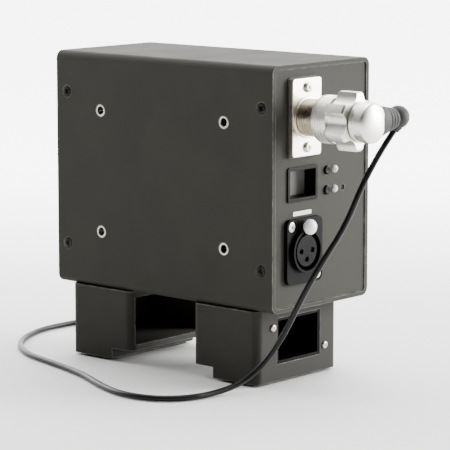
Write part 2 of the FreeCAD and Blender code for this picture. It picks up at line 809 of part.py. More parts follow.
def pole_gasket_sheet():
    sheet_body = rounded("gasket_round",
                         outward_block("gasket_blank", pole_x, pole_up, 0, pole_gasket,
                                       pole_plate_width + 2 * gasket_lap,
                                       pole_plate_height + 2 * gasket_lap), Vector(0, 1, 0), 2.2)
    tools = [outward_rod("gasket_hole", pole_x, pole_up, -1, 2, barrel_radius)]
    for side in (-1, 1):
        tools.append(outward_rod(f"gasket_screw_hole_{side + 1}", pole_x,
                                 pole_up + side * pole_screw_pitch / 2, -1, 2,
                                 pole_screw_shank + running_gap))
    node("pole_gasket", cut("pole_gasket_sheet", sheet_body, tools))


def pole_insulator():
    disc = outward_rod("pole_insulator_disc", pole_x, pole_up, -pole_rear + 1, 1, barrel_bore)
    holes = [outward_rod(f"pole_pin_hole_{index}", x, up, -pole_rear, 2, pin_radius)
             for index, (x, up) in enumerate(pole_holes())]
    node("pole_insulator", cut("pole_insulator", disc, holes))


def pole_pins():
    pins = [outward_rod(f"pole_pin_{index}", x, up, -pole_rear - 3, 7.5, pin_radius)
            for index, (x, up) in enumerate(pole_holes())]
    node("pole_pins", together("pole_pins", pins))


def pole_screws():
    screws = []
    for side in (-1, 1):
        screws.append(screw(f"pole_screw_{side + 1}",
                            out(pole_x, pole_up + side * pole_screw_pitch / 2, pole_gasket + pole_plate),
                            FORWARD, pole_screw_shank, pole_gasket + pole_plate + panel_thickness + 1,
                            2 * pole_screw_shank, pole_screw_head))
    node("pole_screws", together("pole_screws", screws))


def plug_shell():
    nose = outward_rod("plug_nose_tube", pole_x, pole_up, plug_entry, nut_end + 1.4, plug_nose)
    shoulder = outward_rod("plug_shoulder", pole_x, pole_up, barrel_length + plug_shoulder_start,
                           barrel_length + plug_shoulder_end, barrel_radius - plug_shoulder_drop)
    bore = outward_rod("plug_shell_bore", pole_x, pole_up, 1, nut_end + 3, plug_bore)
    node("plug_shell", cut("plug_shell", join("plug_shell_blank", [nose, shoulder]), [bore]))


def plug_insert():
    disc = outward_rod("plug_insert_disc", pole_x, pole_up, plug_entry + 0.2, plug_insert_end, plug_bore)
    holes = [outward_rod(f"plug_pin_hole_{index}", x, up, 1, plug_insert_end + 1, pin_radius + 0.08)
             for index, (x, up) in enumerate(pole_holes())]
    node("plug_insert", cut("plug_insert", disc, holes))


def plug_contacts():
    contacts = [outward_rod(f"plug_contact_{index}", x, up, plug_contact_start, plug_contact_end,
                            pin_radius + 0.08)
                for index, (x, up) in enumerate(pole_holes())]
    node("plug_contacts", together("plug_contacts", contacts))


def coupling_nut():
    sleeve = outward_rod("nut_sleeve_tube", pole_x, pole_up, nut_start, nut_grip_start + 1, nut_sleeve)
    grip = outward_rod("nut_grip_disc", pole_x, pole_up, nut_grip_start, nut_end, nut_grip)
    shoulder_room = barrel_length + plug_shoulder_end + 0.3
    tools = [outward_rod("nut_thread", pole_x, pole_up, nut_start - 1, shoulder_room,
                         barrel_radius - barrel_clearance + running_gap),
             outward_rod("nut_bore", pole_x, pole_up, nut_start - 1, nut_end + 1, plug_nose + running_gap)]
    scallop_ring = nut_grip + scallop_offset
    for index in range(nut_lobes):
        angle = 2 * math.pi * index / nut_lobes
        tools.append(outward_rod(f"nut_scallop_{index}", pole_x + math.cos(angle) * scallop_ring,
                                 pole_up + math.sin(angle) * scallop_ring,
                                 nut_grip_start - 1, nut_end + 1, scallop_radius))
    node("coupling_nut", cut("coupling_nut", join("nut_blank", [sleeve, grip]), tools))


def backshell_envelope(name):
    """The outside of the backshell: a round can with a shallow domed end."""
    dome = doc.addObject("Part::Ellipsoid", f"{name}_dome")
    bind(dome, "Radius1", backshell_dome)
    bind(dome, "Radius2", backshell_radius)
    bind(dome, "Radius3", backshell_radius)
    place(dome, *out(pole_x, pole_up, backshell_turn), FORWARD)
    can = outward_rod(f"{name}_can", pole_x, pole_up, backshell_start, backshell_turn, backshell_radius)
    return join(name, [can, dome])


def boot_rod(name, start, length, radius):
    """A round bar along the boot's line, which leaves the backshell sideways."""
    x, y, z = out(pole_x + start, pole_up, boot_reach)
    return rod(name, (x, y, z), radius, length, RIGHTWARD)


def plug_backshell():
    """A round can with a domed end, open to the plug at its front and to the boot at its side."""
    hollow = backshell_radius - backshell_wall
    tools = [outward_rod("backshell_throat", pole_x, pole_up, backshell_start - 1,
                         backshell_start + 1, plug_nose),
             outward_rod("backshell_hollow", pole_x, pole_up, backshell_start + 0.9,
                         backshell_turn, hollow),
             boot_rod("backshell_outlet", 0, backshell_radius + 2, boot_stem)]
    node("plug_backshell", cut("plug_backshell", backshell_envelope("backshell_blank"), tools))


def knuckle_centre():
    return Vector(float(pole_x + knuckle_offset), float(face_y - boot_reach), float(pole_up + knuckle_rise))


def cable_exit():
    return knuckle_centre() + Vector(-2.6, 0.5, -6.4)


def boot_section(x, half_height, half_width, up):
    """An upright oval across the boot's line."""
    centre = Vector(x, float(face_y - boot_reach), up)
    tall, wide = Vector(0, 0, half_height), Vector(0, half_width, 0)
    return Part.Wire(Part.Ellipse(centre + tall, centre + wide, centre).toShape())


def cable_boot():
    """A sideways strain relief: an oval root hugging the backshell, a knuckle and a tapered outlet."""
    centre = knuckle_centre()
    root = boot_section(float(pole_x) + 5.0, float(boot_half_height), float(boot_half_width), float(pole_up))
    neck = boot_section(centre.x, float(boot_neck), float(boot_neck) - 0.01, centre.z)
    body = doc.addObject("Part::Feature", "boot_body")
    body.Shape = Part.makeLoft([root, neck], True)
    sleeve = cut("boot_sleeve", body, [backshell_envelope("boot_clearance")])
    stem = boot_rod("boot_stem", backshell_radius - backshell_wall, backshell_wall + 1, boot_stem)
    knuckle = doc.addObject("Part::Feature", "boot_knuckle")
    line = cable_exit() - centre
    outlet = Part.makeCone(float(cable_radius) * 2.6, float(cable_radius) * 1.5, line.Length, centre, line)
    knuckle.Shape = Part.makeSphere(float(knuckle_radius), centre).fuse(outlet)
    node("cable_boot", join("cable_boot", [sleeve, stem, knuckle]))


# ----------------------------------------------------------------- audio socket
def audio_socket():
    plate = rounded("audio_plate_round",
                    outward_block("audio_plate_blank", audio_x, audio_up, 0, audio_plate,
                                  audio_width, audio_height), Vector(0, 1, 0), 3.2)
    collar = outward_rod("audio_collar_ring", audio_x, audio_up, audio_plate,
                         audio_plate + audio_collar_rise, audio_collar)
    barrel = outward_rod("audio_barrel_tube", audio_x, audio_up, -audio_rear, 0, audio_barrel)
    boss = outward_rod("latch_boss", audio_x, audio_up + latch_rise, -10, 0, latch_boss_radius)
    tools = [outward_rod("audio_bore_hole", audio_x, audio_up, -audio_rear + 2, audio_plate + 4, audio_bore),
             outward_rod("latch_notch", audio_x, audio_up + latch_rise, audio_plate,
                         audio_plate + audio_collar_rise + 1, latch_radius + 0.5),
             outward_rod("latch_guide", audio_x, audio_up + latch_rise, -9, audio_plate + 1,
                         latch_stem + running_gap)]
    for side in (-1, 1):
        x, up = audio_x - side * audio_screw_x, audio_up + side * audio_screw_z
        tools.append(outward_rod(f"audio_hole_{side + 1}", x, up, -1, audio_plate + 1,
                                 audio_screw_shank + running_gap))
        tools.append(taper(f"audio_sink_{side + 1}", out(x, up, audio_plate - audio_sink),
                           audio_screw_shank + running_gap, audio_screw_head + running_gap,
                           audio_sink, FORWARD))
    for index, (x, up) in enumerate(audio_contact_places()):
        tools.append(outward_rod(f"audio_tail_hole_{index}", x, up, -audio_rear - 1, -audio_rear + 3,
                                 audio_contact_radius))
    node("audio_socket", cut("audio_socket", join("audio_blank", [plate, collar, barrel, boss]), tools))


def audio_contact_places():
    places = []
    for angle in (0, 90, 180):
        turn = math.radians(angle + 180)
        places.append((audio_x + math.cos(turn) * audio_contact_ring,
                       audio_up + math.sin(turn) * audio_contact_ring))
    return places


def audio_insert():
    core = outward_rod("audio_core", audio_x, audio_up, -audio_rear + 2, audio_plate + 1.2,
                       audio_insert_radius)
    base = outward_rod("audio_core_base", audio_x, audio_up, -audio_rear + 2, -audio_rear + 6, audio_bore)
    holes = [outward_rod(f"audio_contact_hole_{index}", x, up, -audio_rear + 1, audio_plate + 2,
                         audio_contact_radius)
             for index, (x, up) in enumerate(audio_contact_places())]
    node("audio_insert", cut("audio_insert", join("audio_insert_blank", [core, base]), holes))


def audio_contacts():
    contacts = []
    for index, (x, up) in enumerate(audio_contact_places()):
        tube = outward_rod(f"audio_contact_tube_{index}", x, up, -audio_rear - 4, audio_plate - 0.5,
                           audio_contact_radius)
        bore = outward_rod(f"audio_contact_bore_{index}", x, up, -audio_rear + 8, audio_plate,
                           audio_contact_bore)
        contacts.append(cut(f"audio_contact_{index}", tube, [bore]))
    node("audio_contacts", together("audio_contacts", contacts))


def audio_latch():
    """The domed release button of the socket, on a stem that slides in the housing."""
    up = audio_up + latch_rise
    seat = audio_plate + latch_travel + latch_seat_gap
    stem = outward_rod("latch_stem_rod", audio_x, up, -6, seat + 1, latch_stem)
    disc = outward_rod("latch_disc", audio_x, up, seat, seat + latch_skirt, latch_radius)
    dome = doc.addObject("Part::Ellipsoid", "latch_dome_blank")
    bind(dome, "Radius1", latch_dome)
    bind(dome, "Radius2", latch_radius)
    bind(dome, "Radius3", latch_radius)
    place(dome, *out(audio_x, up, seat + latch_skirt), FORWARD)
    trim = outward_rod("latch_trim", audio_x, up, seat - 4, seat, latch_radius + 1)
    half = cut("latch_half_dome", dome, [trim])
    node("audio_latch", join("audio_latch", [stem, disc, half]))


def audio_screws():
    screws = []
    for side in (-1, 1):
        x, up = audio_x - side * audio_screw_x, audio_up + side * audio_screw_z
        screws.append(screw(f"audio_screw_{side + 1}", out(x, up, audio_plate), FORWARD,
                            audio_screw_shank, audio_plate + panel_thickness + 1,
                            audio_screw_head, audio_sink, True))
    node("audio_screws", together("audio_screws", screws))


# ---------------------------------------------------------------- rocker switch
def switch_well_sizes():
    width = switch_rim_width - 2 * switch_rim_lap - 2 * switch_wall
    height = switch_rim_height - 2 * switch_rim_lap - 2 * switch_wall
    return width, height


def switch_housing():
    rim = rounded("switch_rim_round",
                  outward_block("switch_rim_blank", switch_x, switch_up, 0, switch_rim,
                                switch_rim_width, switch_rim_height), Vector(0, 1, 0), 1.2)
    body = outward_block("switch_body_blank", switch_x, switch_up, -switch_rear, 0,
                         switch_rim_width - 2 * switch_rim_lap, switch_rim_height - 2 * switch_rim_lap)
    width, height = switch_well_sizes()
    well = outward_block("switch_well_blank", switch_x, switch_up, -switch_well, switch_rim + 1,
                         width, height)
    axle_hole = rod("switch_axle_hole", (switch_x, face_y + rocker_pivot, switch_up - switch_rim_height / 2),
                    axle_radius + 0.08, switch_rim_height)
    node("switch_housing", cut("switch_housing", join("switch_blank", [rim, body]), [well, axle_hole]))


def switch_rocker():
    """The paddle, drawn round its own axle and turned to one of its two rest positions."""
    body = doc.addObject("PartDesign::Body", "switch_rocker")
    width, height = switch_well_sizes()
    half = (float(width) - 2 * float(rocker_gap)) / 2
    thick = float(height) - 2 * float(rocker_gap)
    outline = sketch_on(body, "rocker_outline", "XY_Plane")
    crown, dip, edge = -float(rocker_crown), -float(rocker_dip), -float(rocker_edge)
    keel, keel_half = float(rocker_keel), float(rocker_keel_half)
    points = [(-half, crown), (0, dip), (half, crown), (half, edge),
              (keel_half, keel), (-keel_half, keel), (-half, edge)]
    for index, (x, y) in enumerate(points):
        following = points[(index + 1) % len(points)]
        outline.addGeometry(Part.LineSegment(Vector(x, y, 0), Vector(following[0], following[1], 0)), False)
    for index in range(len(points)):
        following = (index + 1) % len(points)
        outline.addConstraint(Sketcher.Constraint("Coincident", index, 2, following, 1))
    for index, (x, y) in enumerate(points):
        outline.addConstraint(Sketcher.Constraint("DistanceX", -1, 1, index, 1, x))
        outline.addConstraint(Sketcher.Constraint("DistanceY", -1, 1, index, 1, y))
    paddle = pad(body, "rocker_paddle", outline, thick, False)
    paddle.Midplane = True
    axle_outline = sketch_on(body, "rocker_axle_outline", "XY_Plane")
    draw_circle(axle_outline, 0, 0, axle_radius)
    axle = pad(body, "rocker_axle", axle_outline, height + 2 * switch_wall, False)
    axle.Midplane = True
    place(body, switch_x, face_y + rocker_pivot, switch_up,
          Rotation(Vector(0, 0, 1), float(rocker_tilt)))
    node("switch_rocker", body)


def switch_terminals():
    blades = []
    for side in (-1, 1):
        blades.append(outward_block(f"switch_blade_{side + 1}", switch_x + side * blade_spread / 2,
                                    switch_up, -switch_rear - blade_length, -switch_rear,
                                    blade_thickness, blade_width))
    node("switch_terminals", together("switch_terminals", blades))


# ------------------------------------------------------------ buttons and lenses
def push_button(name, x, up, radius, rise):
    """A plunger with a retaining collar behind the panel."""
    plunger = outward_rod(name + "_plunger", x, up, 1 - panel_thickness - 4.6, rise, radius)
    collar_top = -panel_thickness - button_collar_gap
    collar = outward_rod(name + "_collar", x, up, collar_top - button_collar, collar_top,
                         radius + button_collar_lap)
    node(name, join(name, [plunger, collar]))


def buttons():
    push_button("mode_button", button_x, case_floor + button_upper_z, button_radius, button_rise)
    push_button("set_button", button_x, case_floor + button_lower_z, button_radius, button_rise)
    push_button("reset_button", reset_x, case_floor + button_lower_z, reset_radius, as_size(-0.4))


def indicator_lenses():
    lenses = []
    for index, up in enumerate((button_upper_z, button_lower_z)):
        stem = outward_rod(f"lens_stem_{index}", lens_x, case_floor + up, -5, 0.2, lens_radius)
        dome = ball(f"lens_dome_{index}", out(lens_x, case_floor + up, 0.2 - 0.6), lens_radius + 0.1)
        bound = outward_rod(f"lens_bound_{index}", lens_x, case_floor + up, 0, 3, lens_radius)
        cap = doc.addObject("Part::Common", f"lens_cap_{index}")
        cap.Base = dome
        cap.Tool = bound
        lenses.append(join(f"lens_{index}", [stem, cap]))
    node("indicator_lenses", together("indicator_lenses", lenses))


def button_board():
    up = case_floor + (button_upper_z + button_lower_z) / 2
    sheet_body = outward_block("button_board_sheet", reset_x - 6, up, -board_reach - board_thickness,
                               -board_reach, 26, 26)
    holes = [outward_rod(f"board_spacer_hole_{index}", x, z, -board_reach - 3, -board_reach + 1, 1.2)
             for index, (x, z) in enumerate(spacer_places())]
    node("button_board", cut("button_board", sheet_body, holes))


def spacer_places():
    up = case_floor + (button_upper_z + button_lower_z) / 2
    return [(reset_x + 4.2, up - 10.2), (reset_x + 4.2, up + 10.2)]


def board_spacers():
    spacers = []
    for index, (x, up) in enumerate(spacer_places()):
        spacers.append(join(f"spacer_{index}", [
            outward_rod(f"spacer_tube_{index}", x, up, -board_reach, -panel_thickness, 2.4),
            outward_rod(f"spacer_tip_{index}", x, up, -board_reach - board_thickness - 0.8,
                        -board_reach, 1.2)]))
    node("board_spacers", together("board_spacers", spacers))


def key_switches():
    switches = []
    for index, (x, up) in enumerate(((button_x, button_upper_z), (button_x, button_lower_z),
                                     (reset_x, button_lower_z))):
        base = outward_block(f"key_base_{index}", x, case_floor + up, -board_reach, -board_reach + 1.8, 5, 5)
        stem = outward_rod(f"key_stem_{index}", x, case_floor + up, -board_reach + 1.8,
                           -panel_thickness - 4.4, 1.1)
        switches.append(join(f"key_switch_{index}", [base, stem]))
    node("key_switches", together("key_switches", switches))


def indicator_leds():
    leds = [outward_rod(f"led_{index}", lens_x, case_floor + up, -board_reach, -5.4, 1.5)
            for index, up in enumerate((button_upper_z, button_lower_z))]
    node("indicator_leds", together("indicator_leds", leds))


# --------------------------------------------------------------- boards inside
def board_face():
    return case_width / 2 - case_wall - standoff_height


def board_corner_places():
    half_y = board_length / 2 - board_hole_margin
    half_z = board_height / 2 - board_hole_margin
    return [(board_middle_y + a * half_y, middle_z + b * half_z) for a in (-1, 1) for b in (-1, 1)]


def main_board():
    x = board_face() - board_thickness
    low = (x, board_middle_y - board_length / 2, middle_z - board_height / 2)
    sheet_body = block("main_board_sheet", low, (board_thickness, board_length, board_height))
    holes = [rod(f"main_board_hole_{index}", (x - 1, y, z), 1.6, board_thickness + 2, RIGHTWARD)
             for index, (y, z) in enumerate(board_corner_places())]
    node("main_board", cut("main_board", sheet_body, holes))


def board_standoffs():
    posts = []
    for index, (y, z) in enumerate(board_corner_places()):
        post = rod(f"standoff_post_{index}", (board_face(), y, z), 3.0, standoff_height, RIGHTWARD)
        bore = rod(f"standoff_bore_{index}", (board_face() - 1, y, z), 1.5, standoff_height, RIGHTWARD)
        posts.append(cut(f"standoff_{index}", post, [bore]))
    node("board_standoffs", together("board_standoffs", posts))


def board_screws():
    screws = []
    for index, (y, z) in enumerate(board_corner_places()):
        screws.append(screw(f"board_screw_{index}", (board_face() - board_thickness, y, z), LEFTWARD,
                            1.5, board_thickness + 4, 2.8, 1.8))
    node("board_screws", together("board_screws", screws))


def on_board(name, along, up, thickness, length, height, lift=0):
    """A block that stands on the main board's inner face, placed from the board's middle."""
    x = board_face() - board_thickness - lift - as_size(thickness)
    low = (x, board_middle_y + along - as_size(length) / 2, middle_z + up - as_size(height) / 2)
    return block(name, low, (thickness, length, height))


def receiver_module():
    node("receiver_board", on_board("receiver_board", receiver_along, receiver_up, receiver_sheet,
                                    receiver_length, receiver_width))
    can_length, can_width = receiver_length - 2 * can_margin, receiver_width - 2 * can_margin
    can = on_board("can_blank", receiver_along, receiver_up, can_height, can_length, can_width,
                   receiver_sheet)
    hollow = on_board("can_hollow", receiver_along, receiver_up, can_height - can_wall,
                      can_length - 2 * can_wall, can_width - 2 * can_wall, receiver_sheet)
    node("shield_can", cut("shield_can", can, [hollow]))
    node("antenna_board", on_board("antenna_board", 10, 40.5, board_thickness, 48, 7))


def power_parts():
    up = power_height - case_height / 2
    node("power_module", on_board("power_module", power_along, up, power_thickness,
                                  power_length, power_width))
    fins = [on_board("sink_base_plate", power_along, up, sink_base, power_length, power_width,
                     power_thickness)]
    fin_count = 6
    pitch = (power_length - 2) / (fin_count - 1)
    for index in range(fin_count):
        offset = power_along - power_length / 2 + 1 + index * pitch
        fins.append(on_board(f"sink_fin_{index}", offset, up, fin_height, fin_thickness, power_width,
                             power_thickness))
    node("heat_sink", join("heat_sink", fins))
    cans = []
    for index in range(3):
        y = board_middle_y + capacitor_along + capacitor_pitch * index
        x = board_face() - board_thickness
        cans.append(rod(f"capacitor_{index}", (x, y, case_floor + capacitor_height), capacitor_radius,
                        capacitor_length, LEFTWARD))
    node("capacitors", together("capacitors", cans))
    node("wire_header", on_board("wire_header", header_along, header_up, header_rise, header_length,
                                 header_width))


def ribbon_cable():
    """A flat cable from the wire header to the back of the button board."""
    up = case_floor + (button_upper_z + button_lower_z) / 2
    start_y = float(face_y + board_reach + board_thickness)
    header_x = float(board_face() - board_thickness - header_rise)
    header_y = float(board_middle_y + header_along)
    bend_y = header_y - 3
    width, thick = float(ribbon_width), float(ribbon_thickness)
    low_z = float(up) - width / 2
    mid_x = float(reset_x) - 8
    away = Part.makeBox(thick, bend_y - start_y, width, Vector(mid_x, start_y, low_z))
    across = Part.makeBox(header_x - mid_x, thick, width, Vector(mid_x, bend_y - thick, low_z))
    back = Part.makeBox(thick, header_y + 4 - bend_y + thick, width,
                        Vector(header_x - thick, bend_y - thick, low_z))
    thing = doc.addObject("Part::Feature", "ribbon_cable")
    thing.Shape = away.fuse([across, back]).removeSplitter()
    node("ribbon_cable", thing)


# ------------------------------------------------------------------------ cable
def cable_points():
    """The cable's route from the boot, down past the left foot and round behind the case."""
    centre = Vector(float(coil_x), float(coil_y), float(cable_radius))
    lying = float(cable_radius)
    return [cable_exit(),
            Vector(-1.3, -106.4, 113.7),
            Vector(-10.1, -102.1, 97.4),
            Vector(-15.2, -97.0, 79.2),
            Vector(-24.5, -90.6, 62.2),
            Vector(-29.8, -82.5, 44.8),
            Vector(-32.6, -73.4, 25.1),
            Vector(-38.3, -65.3, 11.0),
            Vector(-48.5, -60.0, 3.6),
            Vector(-62.5, -57.0, lying),
            Vector(-77.0, -54.0, lying),
            Vector(-88.0, -43.5, lying),
            Vector(-91.0, -26.0, lying),
            Vector(-84.5, -6.0, lying),
            Vector(-72.0, 18.0, lying),
            Vector(-63.5, 46.0, lying),
            Vector(-56.5, 74.0, lying),
            Vector(-38.0, 98.0, lying),
            Vector(-12.0, 110.5, lying),
            Vector(8.0, 110.0, lying),
            Vector(centre.x - 9.0, centre.y + float(coil_radius), lying)]


def cable_path(points):
    """Straight runs joined by tangent arcs as large as the runs allow."""
    edges = []
    start = points[0]
    radii = []
    for before, corner, after in zip(points, points[1:], points[2:]):
        into = corner - before
        away = after - corner
        turn = into.getAngle(away)
        reach = 0.45 * min(into.Length, away.Length)
        radii.append(reach / math.tan(turn / 2))
        into.normalize()
        away.normalize()
        first = corner - into * reach
        last = corner + away * reach
        bisector = (away - into).normalize()
        centre = corner + bisector * (radii[-1] / math.cos(turn / 2))
        middle = centre - bisector * radii[-1]
        edges.append(Part.LineSegment(start, first).toShape())
        edges.append(Part.Arc(first, middle, last).toShape())
        start = last
    edges.append(Part.LineSegment(start, points[-1]).toShape())
    return Part.Wire(edges), radii


def cable_tube():
    path, radii = cable_path(cable_points())
    print("cable arc radii:", ", ".join(f"{radius:.0f}" for radius in radii))
    points = cable_points()
    section = Part.Wire(Part.Circle(points[0], points[1] - points[0], float(cable_radius)).toShape())
    tube = path.makePipeShell([section], True, False)
    ideal = math.pi * float(cable_radius) ** 2 * path.Length
    print(f"cable tube: length {path.Length:.1f}, volume {tube.Volume:.1f}, section x length {ideal:.1f}")
    thing = doc.addObject("Part::Feature", "cable_tube")
    thing.Shape = tube
    node("cable_tube", thing)


def cable_coil():
    """The outer shape of the wound-up length of cable: four turns, two beside two."""
    outer = coil_radius + 2.4 * cable_radius
    inner = coil_radius - 2.4 * cable_radius
    ring = rod("coil_outer", (coil_x, coil_y, 0), outer, 4.4 * cable_radius)
    hole = rod("coil_hole", (coil_x, coil_y, -1), inner, 4.4 * cable_radius + 2)
    node("cable_coil", cut("cable_coil", ring, [hole]))


def far_plug():
    """The connector on the cable's other end, lying beside the coil."""
    x = coil_x + coil_radius
    z = far_plug_radius
    boot_start = coil_y - 9
    boot_length = 14
    toward = Rotation(Vector(1, 0, 0), 90)
    node("far_plug_boot", taper("far_plug_boot", (x, boot_start, z), 2.4, far_plug_radius * 0.75,
                                boot_length, toward))
    start = boot_start - boot_length
    shell = rod("far_shell_body", (x, start, z), far_plug_radius, far_plug_length, toward)
    bore = rod("far_shell_bore", (x, start - 4, z), far_plug_radius - 1.1, far_plug_length, toward)
    node("far_plug_shell", cut("far_plug_shell", shell, [bore]))
    node("far_plug_insert", rod("far_plug_insert", (x, start - 4, z), far_plug_radius - 1.1,
                                far_plug_length - 8, toward))
    pins = []
    for index in range(4):
        angle = math.pi / 4 + index * math.pi / 2
        pins.append(rod(f"far_pin_{index}", (x + math.cos(angle) * 2.2, start - far_plug_length + 4,
                                             z + math.sin(angle) * 2.2), 0.6, 3, toward))
    node("far_plug_pins", together("far_plug_pins", pins))


# ------------------------------------------------------------------ the assembly

case_shell()
connector_panel()
rear_panel()
case_screws()
mount_inserts()
marking_strip()
foot("front_foot", -1)
foot("rear_foot", 1)
window_liner()
liner_screws()
foot_pads()
foot_screws()
pole_socket()
pole_gasket_sheet()
pole_insulator()
pole_pins()
pole_screws()
plug_shell()
plug_insert()
plug_contacts()
coupling_nut()
plug_backshell()
cable_boot()
audio_socket()
audio_insert()
audio_contacts()
audio_latch()
audio_screws()
switch_housing()
switch_rocker()
switch_terminals()
buttons()
indicator_lenses()
button_board()
board_spacers()
key_switches()
indicator_leds()
main_board()
board_standoffs()
board_screws()
receiver_module()
power_parts()
ribbon_cable()
cable_tube()
cable_coil()
far_plug()
doc.recompute()

faults = []
for thing in doc.Objects:
    if "Invalid" in thing.State or "Error" in thing.State:
        faults.append(f"{thing.Label}: {thing.State}")
for thing in nodes:
    if thing.Shape.isNull() or not thing.Shape.isValid() or not thing.Shape.Solids:
        faults.append(f"{thing.Label}: bad shape")
if faults:
    raise RuntimeError("; ".join(faults))

os.makedirs("parts", exist_ok=True)
for thing in nodes:
    thing.Shape.exportStep(f"parts/{thing.Label}.step")
print(f"{len(nodes)} sub-parts, {sum(len(thing.Shape.Solids) for thing in nodes)} solids")
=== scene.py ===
import bpy, bmesh, math
from mathutils import Matrix, Vector


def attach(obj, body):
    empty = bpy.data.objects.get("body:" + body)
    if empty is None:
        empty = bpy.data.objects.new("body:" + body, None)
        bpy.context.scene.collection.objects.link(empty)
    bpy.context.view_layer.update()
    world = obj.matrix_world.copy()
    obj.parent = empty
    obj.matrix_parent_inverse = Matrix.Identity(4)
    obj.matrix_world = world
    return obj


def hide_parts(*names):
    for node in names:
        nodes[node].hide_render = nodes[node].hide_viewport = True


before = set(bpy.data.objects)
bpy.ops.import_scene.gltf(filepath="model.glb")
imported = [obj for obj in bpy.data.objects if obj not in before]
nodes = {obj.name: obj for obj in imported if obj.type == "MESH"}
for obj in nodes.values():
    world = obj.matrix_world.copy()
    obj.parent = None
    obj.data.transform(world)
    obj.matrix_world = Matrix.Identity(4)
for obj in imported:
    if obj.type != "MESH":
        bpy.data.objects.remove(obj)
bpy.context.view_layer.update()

faceY = -69.4              # the connector panel's outer face
poleCentre = (-13.9, 127)  # x and height of the multi-pole connector's axis
audioCentre = (-13.8, 64)
print("frame loaded,", len(nodes), "nodes")


# measures are millimetres in the part's own frame, turned to metres by mm and point
def mm(value):
    return value / 1000


def point(x, y, z):
    return Vector((mm(x), mm(y), mm(z)))


def outward(x, z):
    # local z leaves the connector panel, local y points up
    return Matrix.Translation(point(x, faceY, z)) @ Matrix.Rotation(math.radians(90), 4, "X")


def along(start, end):
    # local z runs from start to end
    start, end = Vector(start), Vector(end)
    turn = (end - start).to_track_quat("Z", "Y").to_matrix().to_4x4()
    return Matrix.Translation(mm(start)) @ turn


def fromBmesh(name, bm, sharp=35):
    bmesh.ops.recalc_face_normals(bm, faces=bm.faces)
    limit = math.radians(sharp)
    for face in bm.faces:
        face.smooth = True
    for edge in bm.edges:
        edge.smooth = len(edge.link_faces) == 2 and edge.calc_face_angle(0) < limit
    mesh = bpy.data.meshes.new(name)
    bm.to_mesh(mesh)
    bm.free()
    piece = bpy.data.objects.new(name, mesh)
    bpy.context.scene.collection.objects.link(piece)
    weighted = piece.modifiers.new("evenShading", "WEIGHTED_NORMAL")
    weighted.keep_sharp = True
    return piece


def fit(piece, material, body, *replaced):
    # gives a piece its material and its body, and hides the plain solids it stands for
    piece.data.materials.clear()
    piece.data.materials.append(material)
    if replaced:
        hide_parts(*replaced)
    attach(piece, body)
    return piece


def softened(name, node, width, segments=3):
    # the drawn solid itself, with its flat facets merged and its sharp edges bevelled
    bm = bmesh.new()
    bm.from_mesh(nodes[node].data)
    bmesh.ops.remove_doubles(bm, verts=bm.verts, dist=mm(0.002))
    bmesh.ops.dissolve_limit(bm, angle_limit=math.radians(0.6), verts=bm.verts, edges=bm.edges)
    edges = [e for e in bm.edges if len(e.link_faces) == 2 and e.calc_face_angle(0) > math.radians(35)]
    bmesh.ops.bevel(bm, geom=edges, offset=mm(width), offset_type="OFFSET", segments=segments,
                    profile=0.5, affect="EDGES", clamp_overlap=True)
    return fromBmesh(name, bm)


def addRings(bm, rings, loop=False, caps=False):
    # skins neighbouring rings of points; a ring of one point closes the skin there
    made = [[bm.verts.new(place) for place in ring] for ring in rings]
    pairs = list(zip(made, made[1:]))
    if loop:
        pairs.append((made[-1], made[0]))
    for a, b in pairs:
        count = max(len(a), len(b))
        for index in range(count):
            following = (index + 1) % count
            if len(a) == 1:
                bm.faces.new((a[0], b[index], b[following]))
            elif len(b) == 1:
                bm.faces.new((a[index], a[following], b[0]))
            else:
                bm.faces.new((a[index], a[following], b[following], b[index]))
    if caps:
        bm.faces.new(made[0])
        bm.faces.new(made[-1])
    return made


def circleRing(at, reach, radius, steps=72, shape=None, squash=1.0):
    if radius == 0:
        return [at @ Vector((0, 0, mm(reach)))]
    ring = []
    for index in range(steps):
        angle = 2 * math.pi * index / steps
        r = mm(shape(reach, radius, angle) if shape else radius)
        ring.append(at @ Vector((r * math.cos(angle), r * math.sin(angle) * squash, mm(reach))))
    return ring


def slabRing(at, reach, halfWidth, halfHeight, corner, inset=0.0):
    ring = []
    radius = max(corner - inset, 0.05)
    for index, (sideX, sideY) in enumerate(((1, 1), (-1, 1), (-1, -1), (1, -1))):
        for step in range(7):
            angle = math.radians(90 * index + 15 * step)
            x = sideX * (halfWidth - corner) + radius * math.cos(angle)
            y = sideY * (halfHeight - corner) + radius * math.sin(angle)
            ring.append(at @ Vector((mm(x), mm(y), mm(reach))))
    return ring


def addLathe(bm, at, profile, steps=72, shape=None, loop=False):
    addRings(bm, [circleRing(at, reach, radius, steps, shape) for reach, radius in profile], loop)


def lathe(name, at, profile, steps=72, shape=None, loop=False, sharp=35):
    bm = bmesh.new()
    addLathe(bm, at, profile, steps, shape, loop)
    return fromBmesh(name, bm, sharp)


def loopEdges(bm, ring):
    return [bm.edges.get((a, b)) for a, b in zip(ring, ring[1:] + ring[:1])]


def addScrew(bm, at, profile, recess):
    # a turned head with a cross recess pressed into its top face
    top = profile[-1][0]
    rim = addRings(bm, [circleRing(at, reach, radius, 36) for reach, radius in profile])[-1]
    half, arm = recess, recess * 0.27
    outline = [(arm, arm), (arm, half), (-arm, half), (-arm, arm), (-half, arm), (-half, -arm),
               (-arm, -arm), (-arm, -half), (arm, -half), (arm, -arm), (half, -arm), (half, arm)]
    cross = addRings(bm, [[at @ Vector((mm(x * share), mm(y * share), mm(top - depth))) for x, y in outline]
                          for depth, share in ((0.0, 1.0), (recess * 0.5, 0.75))])
    bm.faces.new(cross[-1])
    bmesh.ops.triangle_fill(bm, use_beauty=True, use_dissolve=False,
                            edges=loopEdges(bm, rim) + loopEdges(bm, cross[0]))


